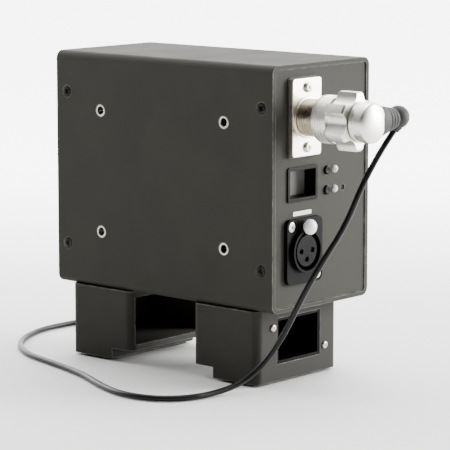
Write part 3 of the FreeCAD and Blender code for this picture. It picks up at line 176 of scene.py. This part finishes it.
# a long lens, far off, level with the middle of the panel
camera = {"place": (-867.2, -766.3, 247.3), "aim": (-29.7, -35.4, 74.3), "lens": 190}
cameraData = bpy.data.cameras.new("camera")
cameraData.lens = camera["lens"]
cameraData.clip_start, cameraData.clip_end = 0.05, 20
cameraObject = bpy.data.objects.new("camera", cameraData)
cameraObject.location = point(*camera["place"])
look = point(*camera["aim"]) - cameraObject.location
cameraObject.rotation_euler = look.to_track_quat("-Z", "Y").to_euler()
bpy.context.scene.collection.objects.link(cameraObject)
bpy.context.scene.camera = cameraObject


# the cable lies loose round the case and ends in a coil behind it
cableSpec = {
    "diameter": 2.8, "coilCentre": (36, 94.5), "innerTurn": 14.0, "outerTurn": 17.0,
    "lowTurn": 1.4, "highTurn": 4.3, "pointsPerTurn": 18,
    "wound": 1170, "inwards": (240, 300), "upwards": (515, 590), "outwards": (830, 880),   # degrees
}
cableRoute = [
    (5.5, -108.1, 121.5), (-1.3, -106.4, 113.7), (-10.1, -102.1, 97.4), (-15.2, -97.0, 79.2),
    (-24.5, -90.6, 62.2), (-29.8, -82.5, 44.8), (-32.6, -73.4, 25.1), (-38.3, -65.3, 11.0),
    (-48.5, -60.0, 3.6), (-62.5, -57.0, 1.4), (-77.0, -54.0, 1.4), (-88.0, -43.5, 1.4),
    (-91.0, -26.0, 1.4), (-84.5, -6.0, 1.4), (-72.0, 18.0, 1.4), (-63.5, 46.0, 1.4),
    (-56.5, 74.0, 1.4), (-38.0, 98.0, 1.4), (-12.0, 110.8, 1.4), (10.0, 111.6, 1.4),
]


def eased(value, start, end):
    share = min(max((value - start) / (end - start), 0), 1)
    return share * share * (3 - 2 * share)


def coilPoints(spec):
    # two turns side by side on the floor, then two more on top of them
    points = []
    step = 360 / spec["pointsPerTurn"]
    spread = spec["outerTurn"] - spec["innerTurn"]
    rise = spec["highTurn"] - spec["lowTurn"]
    for index in range(2, int(spec["wound"] / step)):
        wound = index * step
        radius = (spec["outerTurn"] - spread * eased(wound, *spec["inwards"])
                  + spread * eased(wound, *spec["outwards"]))
        height = spec["lowTurn"] + rise * eased(wound, *spec["upwards"])
        angle = math.radians(90 - wound)
        points.append((spec["coilCentre"][0] + radius * math.cos(angle),
                       spec["coilCentre"][1] + radius * math.sin(angle), height))
    return points


cableEnd = [(52.6, 90.5, 4.7), (51.5, 85.0, 5.9), (51.5, 81.5, 6.0)]
cableCurve = bpy.data.curves.new("cable", "CURVE")
cableCurve.dimensions = "3D"
spline = cableCurve.splines.new("NURBS")
controlPoints = cableRoute + coilPoints(cableSpec) + cableEnd
spline.points.add(len(controlPoints) - 1)
for target, place in zip(spline.points, controlPoints):
    target.co = (*point(*place), 1)
spline.order_u = 3
spline.use_endpoint_u = True
spline.resolution_u = 8
cableCurve.bevel_depth = mm(cableSpec["diameter"] / 2)
cableCurve.bevel_resolution = 6
cableCurve.use_fill_caps = True
cable = bpy.data.objects.new("cable", cableCurve)
bpy.context.scene.collection.objects.link(cable)
print("camera and cable placed")


def hexColour(text):
    # sRGB hex to linear
    parts = [int(text[i:i + 2], 16) / 255 for i in (1, 3, 5)]
    return tuple(p / 12.92 if p <= 0.04045 else ((p + 0.055) / 1.055) ** 2.4 for p in parts) + (1.0,)


def addNode(tree, kind, settings=(), links=()):
    node = tree.nodes.new(kind)
    for key, value in dict(settings).items():
        if isinstance(key, int) or key in node.inputs:
            node.inputs[key].default_value = value
        else:
            setattr(node, key, value)
    for key, socket in dict(links).items():
        tree.links.new(socket, node.inputs[key])
    return node


def startMaterial(name):
    material = bpy.data.materials.new(name)
    material.use_nodes = True
    tree = material.node_tree
    tree.nodes.clear()
    output = addNode(tree, "ShaderNodeOutputMaterial")
    shader = addNode(tree, "ShaderNodeBsdfPrincipled")
    tree.links.new(shader.outputs["BSDF"], output.inputs["Surface"])
    place = addNode(tree, "ShaderNodeTexCoord").outputs["Object"]
    return material, tree, shader, place


def grain(tree, place, size, detail=3.0, stretch=(1, 1, 1)):
    # uneven noise with grains about size millimetres across
    mapped = addNode(tree, "ShaderNodeMapping", {"Scale": stretch}, {"Vector": place})
    return addNode(tree, "ShaderNodeTexNoise", {"Scale": 1000 / size, "Detail": detail},
                   {"Vector": mapped.outputs["Vector"]}).outputs["Fac"]


def mixedColour(tree, share, first, second):
    ramp = addNode(tree, "ShaderNodeValToRGB", {}, {"Fac": share})
    ramp.color_ramp.elements[0].position = 0.35
    ramp.color_ramp.elements[0].color = hexColour(first)
    ramp.color_ramp.elements[1].position = 0.65
    ramp.color_ramp.elements[1].color = hexColour(second)
    return ramp.outputs["Color"]


def rangeOf(tree, share, low, high):
    return addNode(tree, "ShaderNodeMapRange", {"From Min": 0.3, "From Max": 0.7, "To Min": low,
                                                "To Max": high}, {"Value": share}).outputs["Result"]


def bumpFrom(tree, shader, height, depth, strength=1.0):
    bump = addNode(tree, "ShaderNodeBump", {"Strength": strength, "Distance": mm(depth)}, {"Height": height})
    tree.links.new(bump.outputs["Normal"], shader.inputs["Normal"])


def worn(tree, colour, edgeColour, width, amount, patchy):
    # outer edges rubbed through to a paler colour, here and there
    rounded = addNode(tree, "ShaderNodeBevel", {"samples": 4, "Radius": mm(width)})
    normal = addNode(tree, "ShaderNodeNewGeometry")
    match = addNode(tree, "ShaderNodeVectorMath", {"operation": "DOT_PRODUCT"},
                    {0: rounded.outputs["Normal"], 1: normal.outputs["Normal"]})
    edge = addNode(tree, "ShaderNodeMapRange", {"From Min": 0.995, "From Max": 0.9, "To Max": amount},
                   {"Value": match.outputs["Value"]})
    broken = addNode(tree, "ShaderNodeMath", {"operation": "MULTIPLY", "use_clamp": True},
                     {0: edge.outputs["Result"], 1: patchy})
    mix = addNode(tree, "ShaderNodeMix", {"data_type": "RGBA", 7: hexColour(edgeColour)},
                  {0: broken.outputs["Value"], 6: colour})
    return mix.outputs[2]


def powderCoatedAluminium(name, first, second):
    # sprayed and baked: an even, slightly pebbled skin that spreads the highlights
    material, tree, shader, place = startMaterial(name)
    pebble = grain(tree, place, 1.1, 2.0)
    patches = grain(tree, place, 26, 4.0)
    colour = mixedColour(tree, patches, first, second)
    colour = worn(tree, colour, "#8f8e88", 0.7, 0.55, rangeOf(tree, grain(tree, place, 5, 5.0), 0.0, 1.6))
    tree.links.new(colour, shader.inputs["Base Color"])
    tree.links.new(rangeOf(tree, patches, 0.6, 0.72), shader.inputs["Roughness"])
    bumpFrom(tree, shader, pebble, 0.06)
    shader.inputs["IOR"].default_value = 1.5
    shader.inputs["Specular IOR Level"].default_value = 0.12
    return material


def satinNickel(name, first, second, low=0.16, high=0.3):
    # nickel over brass: warm white metal, finely turned, a little uneven where it has been handled
    material, tree, shader, place = startMaterial(name)
    turned = grain(tree, place, 0.5, 2.0, (0.25, 2.2, 0.25))
    handled = grain(tree, place, 9, 4.0)
    tree.links.new(mixedColour(tree, handled, first, second), shader.inputs["Base Color"])
    tree.links.new(rangeOf(tree, handled, low, high), shader.inputs["Roughness"])
    shader.inputs["Metallic"].default_value = 1.0
    bumpFrom(tree, shader, turned, 0.01)
    return material


def platedSteel(name, first, second, low, high):
    # zinc or black oxide over steel: thin bright or dark skin with brush marks
    material, tree, shader, place = startMaterial(name)
    brushed = grain(tree, place, 0.7, 3.0, (1, 1, 4))
    tree.links.new(mixedColour(tree, grain(tree, place, 3, 3.0), first, second), shader.inputs["Base Color"])
    tree.links.new(rangeOf(tree, brushed, low, high), shader.inputs["Roughness"])
    shader.inputs["Metallic"].default_value = 1.0
    bumpFrom(tree, shader, brushed, 0.012)
    return material


def mouldedPlastic(name, first, second, low, high, texture=0.8, depth=0.03, gleam=0.5):
    # moulded thermoplastic: a fine mould texture, and gloss that varies in faint patches
    material, tree, shader, place = startMaterial(name)
    pits = grain(tree, place, texture, 3.0)
    bloom = grain(tree, place, 8, 4.0)
    colour = mixedColour(tree, bloom, first, second)
    tree.links.new(colour, shader.inputs["Base Color"])
    tree.links.new(rangeOf(tree, bloom, low, high), shader.inputs["Roughness"])
    bumpFrom(tree, shader, pits, depth)
    shader.inputs["IOR"].default_value = 1.49
    shader.inputs["Specular IOR Level"].default_value = gleam
    return material


def mouldedRubber(name, first, second):
    # vulcanised rubber: soft, matt, a touch of dust in its pores
    material, tree, shader, place = startMaterial(name)
    pores = grain(tree, place, 0.9, 4.0)
    dust = grain(tree, place, 6, 5.0)
    tree.links.new(mixedColour(tree, dust, first, second), shader.inputs["Base Color"])
    tree.links.new(rangeOf(tree, dust, 0.55, 0.72), shader.inputs["Roughness"])
    bumpFrom(tree, shader, pores, 0.05)
    shader.inputs["IOR"].default_value = 1.52
    shader.inputs["Specular IOR Level"].default_value = 0.3
    shader.inputs["Sheen Weight"].default_value = 0.05
    return material


def clearPolycarbonate(name):
    # a moulded light guide: milky grey-white with a glossy face
    material, tree, shader, place = startMaterial(name)
    milk = grain(tree, place, 2, 2.0)
    tree.links.new(mixedColour(tree, milk, "#b4b6b0", "#c4c6bf"), shader.inputs["Base Color"])
    tree.links.new(rangeOf(tree, milk, 0.08, 0.14), shader.inputs["Roughness"])
    shader.inputs["IOR"].default_value = 1.58
    shader.inputs["Subsurface Weight"].default_value = 0.25
    shader.inputs["Subsurface Scale"].default_value = mm(1.0)
    return material


def solderMask(name):
    # fibreglass board under green lacquer, with tracks showing as paler lines
    material, tree, shader, place = startMaterial(name)
    tracks = addNode(tree, "ShaderNodeTexBrick", {
        "Scale": 90.0, "Mortar Size": 0.06, "Color1": hexColour("#14502c"),
        "Color2": hexColour("#175834"), "Mortar": hexColour("#2c7a49")}, {"Vector": place})
    tree.links.new(tracks.outputs["Color"], shader.inputs["Base Color"])
    tree.links.new(rangeOf(tree, grain(tree, place, 3, 2.0), 0.22, 0.34), shader.inputs["Roughness"])
    bumpFrom(tree, shader, tracks.outputs["Fac"], 0.03)
    return material


grey = powderCoatedAluminium("powderCoatGrey", "#2e2d29", "#34332e")
footGrey = powderCoatedAluminium("powderCoatCasting", "#2d2c29", "#33322e")
nickel = satinNickel("satinNickel", "#dcd3c0", "#ebe4d6", 0.26, 0.38)
# a darker, warmer copy of the satin nickel for the threaded barrel: the warm tone is the metal's own, the
# darkness is painted shade
brassyNickelPaintedShade = satinNickel("brassyNickelPaintedShade", "#837a69", "#a9a08e", 0.2, 0.32)
brightNickel = satinNickel("brightNickel", "#e9e6de", "#f6f4ee", 0.3, 0.4)
zinc = platedSteel("zincPlatedSteel", "#b4b1a8", "#cfccc3", 0.22, 0.38)
blackOxide = platedSteel("blackOxideSteel", "#1b1b1b", "#2b2a28", 0.3, 0.45)
blackNylon = mouldedPlastic("blackNylon", "#040404", "#080808", 0.34, 0.46, gleam=0.05)
blackAbs = mouldedPlastic("blackAbs", "#040404", "#070707", 0.25, 0.35, 0.6, 0.012, gleam=0.06)
paddleAbs = mouldedPlastic("greyAbs", "#54534f", "#605f5a", 0.35, 0.45, 0.7, 0.02, gleam=0.25)
whiteAbs = mouldedPlastic("whiteAbs", "#f0f0ec", "#fbfbf8", 0.1, 0.16, 2.0, 0.004)
enamel = mouldedPlastic("printedEnamel", "#e4e4df", "#f2f2ee", 0.3, 0.4, 1.0, 0.01)
blackRubber = mouldedRubber("blackRubber", "#0f0f10", "#1b1b1b")
greyRubber = mouldedRubber("greyRubber", "#21211e", "#2a2a27")
jacket = mouldedPlastic("polyurethaneJacket", "#050505", "#0a0a0a", 0.28, 0.4, 1.2, 0.03, gleam=0.25)
lensClear = clearPolycarbonate("clearPolycarbonate")
board = solderMask("solderMask")
goldFlash = platedSteel("goldFlash", "#d3a94f", "#e2bd69", 0.15, 0.28)
silverPlate = platedSteel("silverPlate", "#c9c8c2", "#dddcd6", 0.15, 0.3)
drawnAluminium = platedSteel("drawnAluminium", "#b9babb", "#c9cacb", 0.25, 0.42)
turnedBrass = platedSteel("turnedBrass", "#b48f45", "#c7a45a", 0.2, 0.34)
print("materials made")


# pieces that keep their drawn shape, with their sharp edges rounded over by so many millimetres
for name, node, width, material in (
        ("caseShell", "case_shell", 0.5, grey), ("connectorPanel", "connector_panel", 0.25, grey),
        ("rearPanel", "rear_panel", 0.3, grey), ("frontFoot", "front_foot", 0.8, footGrey),
        ("rearFoot", "rear_foot", 0.8, footGrey), ("windowLiner", "window_liner", 0.3, blackAbs),
        ("footPads", "foot_pads", 0.25, blackRubber), ("markingStrip", "marking_strip", 0.06, enamel),
        ("mountInserts", "mount_inserts", 0.25, zinc), ("poleGasket", "pole_gasket", 0.12, blackRubber),
        ("audioSocket", "audio_socket", 0.3, blackNylon), ("audioInsert", "audio_insert", 0.25, blackAbs),
        ("switchHousing", "switch_housing", 0.25, blackAbs)):
    fit(softened(name, node, width), material, "unit", node)


# profiles run from the seat to the top of the head: reach, radius
flushHead = [(-1.6, 1.5), (-0.12, 2.88), (0.0, 2.7)]
screwSets = {
    "caseScrews": {"node": "case_screws", "material": blackOxide, "profile": flushHead, "recess": 1.5},
    "poleScrews": {"node": "pole_screws", "material": zinc, "recess": 1.25,
                   "profile": [(0, 2.4), (0.75, 2.4), (1.1, 2.2), (1.3, 1.8)]},
    "audioScrews": {"node": "audio_screws", "material": zinc, "recess": 1.2,
                    "profile": [(-1.4, 1.3), (-0.1, 2.35), (0.0, 2.2)]},
    "linerScrews": {"node": "liner_screws", "material": zinc, "recess": 0.95,
                    "profile": [(0, 1.8), (0.5, 1.8), (0.8, 1.6), (0.95, 1.3)]},
}


def sideways(side, y, z):
    # local z leaves the case's left or right side
    halfWidth = 36
    turn = Matrix.Rotation(math.radians(90 * side), 4, "Y")
    return Matrix.Translation(point(side * halfWidth, y, z)) @ turn


def onPanel(x, z, reach):
    return outward(x, z) @ Matrix.Translation((0, 0, mm(reach)))


x, z = poleCentre
screwSets["poleScrews"]["places"] = [onPanel(x, z + 14 * side, 3.0) for side in (-1, 1)]
x, z = audioCentre
screwSets["audioScrews"]["places"] = [onPanel(x - 9.5 * side, z + 12 * side, 2.0) for side in (-1, 1)]
screwSets["linerScrews"]["places"] = [onPanel(x, z, -8.4) for x, z in ((-24.8, 27.2), (14.0, 13.2))]
screwSets["caseScrews"]["places"] = [sideways(side, y, z)
                                     for side in (-1, 1) for y in (-63, 63) for z in (56, 132)]
for name, spec in screwSets.items():
    bm = bmesh.new()
    for index, at in enumerate(spec["places"]):
        turned = at @ Matrix.Rotation(math.radians(17 + 41 * index), 4, "Z")
        addScrew(bm, turned, spec["profile"], spec["recess"])
    fit(fromBmesh(name, bm), spec["material"], "unit", spec["node"])


pole = {
    "at": outward(*poleCentre), "halfWidth": 10.5, "halfHeight": 18.25, "corner": 1.6,
    "plate": (0.6, 3.0), "collar": 9.8, "bore": 7.5, "mouth": 16.5,
    "thread": 8.75, "threadDepth": 0.5, "pitch": 1.35, "threadSpan": (3.9, 16.2), "threadStep": 0.15,
}
bm = bmesh.new()
low, high = pole["plate"]
plateRings = [slabRing(pole["at"], reach, pole["halfWidth"], pole["halfHeight"], pole["corner"], inset)
              for reach, inset in ((low, 0), (high - 0.4, 0), (high - 0.12, 0.1), (high, 0.38))]
addRings(bm, plateRings, caps=True)
collar = pole["collar"]
addLathe(bm, pole["at"], [(2.6, collar), (3.5, collar), (3.8, collar - 0.15), (3.9, collar - 0.45),
                          (3.9, 8.6), (3.2, 8.6)])


def threadShape(reach, radius, angle):
    # one helical groove round the rings that carry the thread
    if radius != pole["thread"]:
        return radius
    phase = (reach / pole["pitch"] - angle / (2 * math.pi)) % 1
    return radius - pole["threadDepth"] * min(1, max(0, 2.6 * abs(phase - 0.5) - 0.15))


first, last = pole["threadSpan"]
mouth, bore = pole["mouth"], pole["bore"]
threadRings = [(first + pole["threadStep"] * step, pole["thread"])
               for step in range(int((last - first) / pole["threadStep"]))]
addLathe(bm, pole["at"], [(first - 0.6, 8.2)] + threadRings
         + [(mouth - 0.1, bore + 0.6), (mouth, bore + 0.4), (mouth, bore), (2.0, bore)], 96, threadShape)
poleSocket = fit(fromBmesh("poleSocket", bm, 40), nickel, "unit", "pole_socket")
# faces further out than the thread's start take the darker nickel copy, which is painted shade on the barrel
poleSocket.data.materials.append(brassyNickelPaintedShade)
for face in poleSocket.data.polygons:
    face.material_index = int(face.center.y < mm(faceY - first))

nut = {
    "start": 13.6, "end": 34.0, "sleeve": 11.2, "threadBore": 8.95, "bore": 7.7, "shoulder": 20.0,
    "grip": 13.8, "gripStart": 22.5, "grooves": (16.4, 18.0, 19.6), "grooveDepth": 0.3,
    "scallops": 6, "scallopRing": 15.4, "scallopRadius": 5.4, "softness": 0.22,
}


def nutShape(reach, radius, angle):
    # six finger hollows in the grip, rounded where they meet the rim
    if reach < nut["gripStart"] or radius <= nut["threadBore"]:
        return radius
    step = 2 * math.pi / nut["scallops"]
    away = (angle + step / 2) % step - step / 2
    inside = nut["scallopRadius"] ** 2 - (nut["scallopRing"] * math.sin(away)) ** 2
    if inside <= 0:
        return radius
    hollow = nut["scallopRing"] * math.cos(away) - math.sqrt(inside)
    soft = nut["softness"]
    middle = (radius + hollow) / 2
    return middle - soft * math.log(math.exp((middle - radius) / soft) + math.exp((middle - hollow) / soft))


start, end, sleeve, grip = nut["start"], nut["end"], nut["sleeve"], nut["grip"]
depth = nut["grooveDepth"]
grooves = [(reach + offset, sleeve - fall) for reach in nut["grooves"]
           for offset, fall in ((-0.32, 0), (-0.2, depth), (0.2, depth), (0.32, 0))]
nutProfile = ([(start, nut["threadBore"]), (start, sleeve - 0.5), (start + 0.15, sleeve - 0.2),
               (start + 0.5, sleeve)] + grooves
              + [(22.2, sleeve), (22.5, sleeve + 0.2), (22.7, grip - 1.2), (22.95, grip - 0.5),
                 (23.4, grip - 0.15), (24.0, grip), (28.4, grip), (end - 1.2, grip),
                 (end - 0.6, grip - 0.15), (end - 0.2, grip - 0.5), (end, grip - 1.1), (end, nut["bore"]),
                 (nut["shoulder"], nut["bore"]), (nut["shoulder"], nut["threadBore"])])
couplingNut = lathe("couplingNut", pole["at"], nutProfile, 240, nutShape, loop=True)
fit(couplingNut, brightNickel, "nut", "coupling_nut")

backshell = {"start": 34.4, "turn": 41.0, "dome": 3.0, "radius": 9.5, "throat": 7.4, "groove": (36.0, 36.7)}


def domeProfile(start, height, radius, angles):
    return [(start + height * math.sin(math.radians(angle)), radius * math.cos(math.radians(angle)))
            for angle in angles]


start, turn, radius = backshell["start"], backshell["turn"], backshell["radius"]
low, high = backshell["groove"]
backshellProfile = ([(start + 1.1, backshell["throat"]), (start, backshell["throat"]), (start, radius - 0.4),
                     (start + 0.15, radius - 0.1), (start + 0.5, radius), (low, radius),
                     (low + 0.15, radius - 0.25), (high - 0.15, radius - 0.25), (high, radius),
                     (turn, radius)]
                    + domeProfile(turn, backshell["dome"], radius, range(10, 90, 8))
                    + [(turn + backshell["dome"], 0)])
fit(lathe("plugBackshell", pole["at"], backshellProfile, 96), brightNickel, "unit", "plug_backshell")

# an oval root hugs the backshell, ribs taper to a ball, and a cone leads the cable out of it
boot = {
    "root": (-7.9, -108.6, 127.0), "knuckle": (8.1, -108.6, 127.9), "exit": (5.5, -108.1, 121.5),
    "ball": 5.4, "ballReach": 16.0, "ribs": 4, "ribStart": 4.6, "ribPitch": 1.9,
}
bm = bmesh.new()
at = along(boot["root"], boot["knuckle"])
bootRings = [(0.0, 4.2, 6.9), (2.6, 4.3, 7.0), (3.6, 4.3, 6.9), (4.0, 4.2, 6.6)]
for index in range(boot["ribs"]):
    reach = boot["ribStart"] + boot["ribPitch"] * index
    wide, tall = 4.3 + 0.1 * index, 6.5 - 0.42 * index
    bootRings += [(reach, wide, tall), (reach + 0.9, wide, tall - 0.15),
                  (reach + 1.15, wide - 0.2, tall - 0.35), (reach + 1.6, wide - 0.2, tall - 0.45)]
ballReach, radius = boot["ballReach"], boot["ball"]
bootRings += [(reach, half, half)
              for reach, half in domeProfile(ballReach, radius, radius, range(-48, 90, 8))]
bootRings.append((ballReach + radius, 0, 0))
addRings(bm, [circleRing(at, reach, wide, 56, None, tall / wide if wide else 1)
              for reach, wide, tall in bootRings])
at = along(boot["knuckle"], boot["exit"])
addLathe(bm, at, [(2.0, 3.7), (4.9, 3.3), (5.3, 3.1), (5.5, 2.7), (6.2, 2.5), (6.75, 2.35), (6.95, 2.1),
                  (6.95, 1.3)], 40)
fit(fromBmesh("cableBoot", bm, 50), greyRubber, "unit", "cable_boot")

latch = {"rise": 11.5, "stem": 1.5, "seat": 4.1, "skirt": 5.4, "radius": 3.65, "dome": 2.4}
seat, radius = latch["seat"], latch["radius"]
latchProfile = ([(-1, latch["stem"]), (seat, latch["stem"]), (seat, radius - 0.35),
                 (seat + 0.1, radius - 0.1), (seat + 0.3, radius)]
                + domeProfile(latch["skirt"], latch["dome"], radius, range(0, 90, 9))
                + [(latch["skirt"] + latch["dome"], 0)])
x, z = audioCentre
fit(lathe("audioLatch", outward(x, z + latch["rise"]), latchProfile, 64), whiteAbs, "latch", "audio_latch")
fit(softened("switchRocker", "switch_rocker", 0.35), paddleAbs, "rocker", "switch_rocker")

# upper and lower row: a dished push button with its lens beside it
rows = {"upper": 100.2, "lower": 90.7}
button = {
    "x": 4.3,
    "profile": [(-1.0, 2.2), (0.75, 2.2), (1.0, 2.12), (1.16, 1.9), (1.2, 1.6), (1.1, 0.9), (1.06, 0)],
}
lens = {"x": 10.5, "profile": [(-1.5, 1.8), (0.35, 1.8), (0.8, 1.66), (1.2, 1.25), (1.42, 0.7), (1.5, 0)]}
for name, node, body, row in (("modeButton", "mode_button", "mode", "upper"),
                              ("setButton", "set_button", "set", "lower")):
    fit(lathe(name, outward(button["x"], rows[row]), button["profile"], 48), blackAbs, body, node)
fit(softened("resetButton", "reset_button", 0.2), blackAbs, "reset", "reset_button")
bm = bmesh.new()
for z in rows.values():
    addLathe(bm, outward(lens["x"], z), lens["profile"], 40)
fit(fromBmesh("indicatorLenses", bm), lensClear, "unit", "indicator_lenses")
farBoot = fit(softened("farPlugBoot", "far_plug_boot", 0.4), blackRubber, "unit", "far_plug_boot")
farShell = fit(softened("farPlugShell", "far_plug_shell", 0.4), nickel, "unit", "far_plug_shell")

# small and inner pieces keep their drawn shape as it is
for node, material in (
        ("plug_shell", nickel), ("plug_insert", blackAbs), ("plug_contacts", goldFlash),
        ("pole_insulator", blackAbs), ("pole_pins", goldFlash), ("audio_contacts", silverPlate),
        ("switch_terminals", silverPlate), ("foot_screws", zinc), ("board_screws", zinc),
        ("button_board", board), ("board_spacers", turnedBrass), ("key_switches", blackAbs),
        ("indicator_leds", lensClear), ("main_board", board), ("board_standoffs", turnedBrass),
        ("receiver_board", board), ("shield_can", zinc), ("antenna_board", board),
        ("power_module", blackAbs), ("heat_sink", drawnAluminium), ("capacitors", drawnAluminium),
        ("wire_header", whiteAbs), ("ribbon_cable", greyRubber), ("far_plug_insert", blackAbs),
        ("far_plug_pins", goldFlash)):
    nodes[node].data.materials.clear()
    nodes[node].data.materials.append(material)

cable.data.materials.append(jacket)
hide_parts("cable_tube", "cable_coil")
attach(cable, "unit")
print("pieces made")

bm = bmesh.new()
bmesh.ops.create_grid(bm, x_segments=1, y_segments=1, size=6)
floor = fromBmesh("floor", bm)
floorMaterial, tree, shader, place = startMaterial("paleFloor")
clouds = grain(tree, place, 140, 2.0)
tree.links.new(mixedColour(tree, clouds, "#dededc", "#e3e3e1"), shader.inputs["Base Color"])
shader.inputs["Roughness"].default_value = 0.7
# the floor runs into a lit white backdrop behind the unit
backdrop = {"towards": (0.7536, 0.6573, 0.0), "span": (0.02, 0.8), "glow": 5.0}
behind = addNode(tree, "ShaderNodeVectorMath", {"operation": "DOT_PRODUCT", 1: backdrop["towards"]},
                 {0: place})
near, far = backdrop["span"]
glow = addNode(tree, "ShaderNodeMapRange", {"interpolation_type": "SMOOTHSTEP", "From Min": near,
                                            "From Max": far, "To Max": backdrop["glow"]},
               {"Value": behind.outputs["Value"]})
shader.inputs["Emission Color"].default_value = hexColour("#ffffff")
tree.links.new(glow.outputs["Result"], shader.inputs["Emission Strength"])
floor.data.materials.append(floorMaterial)
floor.location.z = -0.0002

lights = {
    "key": {"place": (930, -780, 400), "size": (640, 760), "power": 40},
    "top": {"place": (260, 60, 1150), "size": (800, 800), "power": 17},
    "rim": {"place": (-120, 1150, 520), "size": (900, 500), "power": 10},
}
for name, spec in lights.items():
    data = bpy.data.lights.new(name, "AREA")
    data.shape = "RECTANGLE"
    data.size, data.size_y = (mm(side) for side in spec["size"])
    data.energy = spec["power"]
    lamp = bpy.data.objects.new(name, data)
    lamp.location = point(*spec["place"])
    lamp.rotation_euler = (point(-10, -40, 80) - lamp.location).to_track_quat("-Z", "Y").to_euler()
    bpy.context.scene.collection.objects.link(lamp)

# a studio that is white behind and to the right of the unit and dim to its left
world = bpy.data.worlds.new("studio")
bpy.context.scene.world = world
world.use_nodes = True
tree = world.node_tree
sky = {"towards": (0.75, 0.45, 0.25), "span": (-0.5, 0.86), "dim": 0.03, "bright": 5.5}
facing = addNode(tree, "ShaderNodeVectorMath", {"operation": "DOT_PRODUCT", 1: sky["towards"]},
                 {0: addNode(tree, "ShaderNodeTexCoord").outputs["Generated"]})
share = addNode(tree, "ShaderNodeMapRange", {"From Min": sky["span"][0], "From Max": sky["span"][1]},
                {"Value": facing.outputs["Value"]})
curve = addNode(tree, "ShaderNodeMath", {"operation": "POWER", 1: 2.0}, {0: share.outputs["Result"]})
strength = addNode(tree, "ShaderNodeMapRange", {"To Min": sky["dim"], "To Max": sky["bright"]},
                   {"Value": curve.outputs["Value"]})
background = tree.nodes["Background"]
background.inputs["Color"].default_value = (1, 1, 1, 1)
tree.links.new(strength.outputs["Result"], background.inputs["Strength"])
print("stage lit")
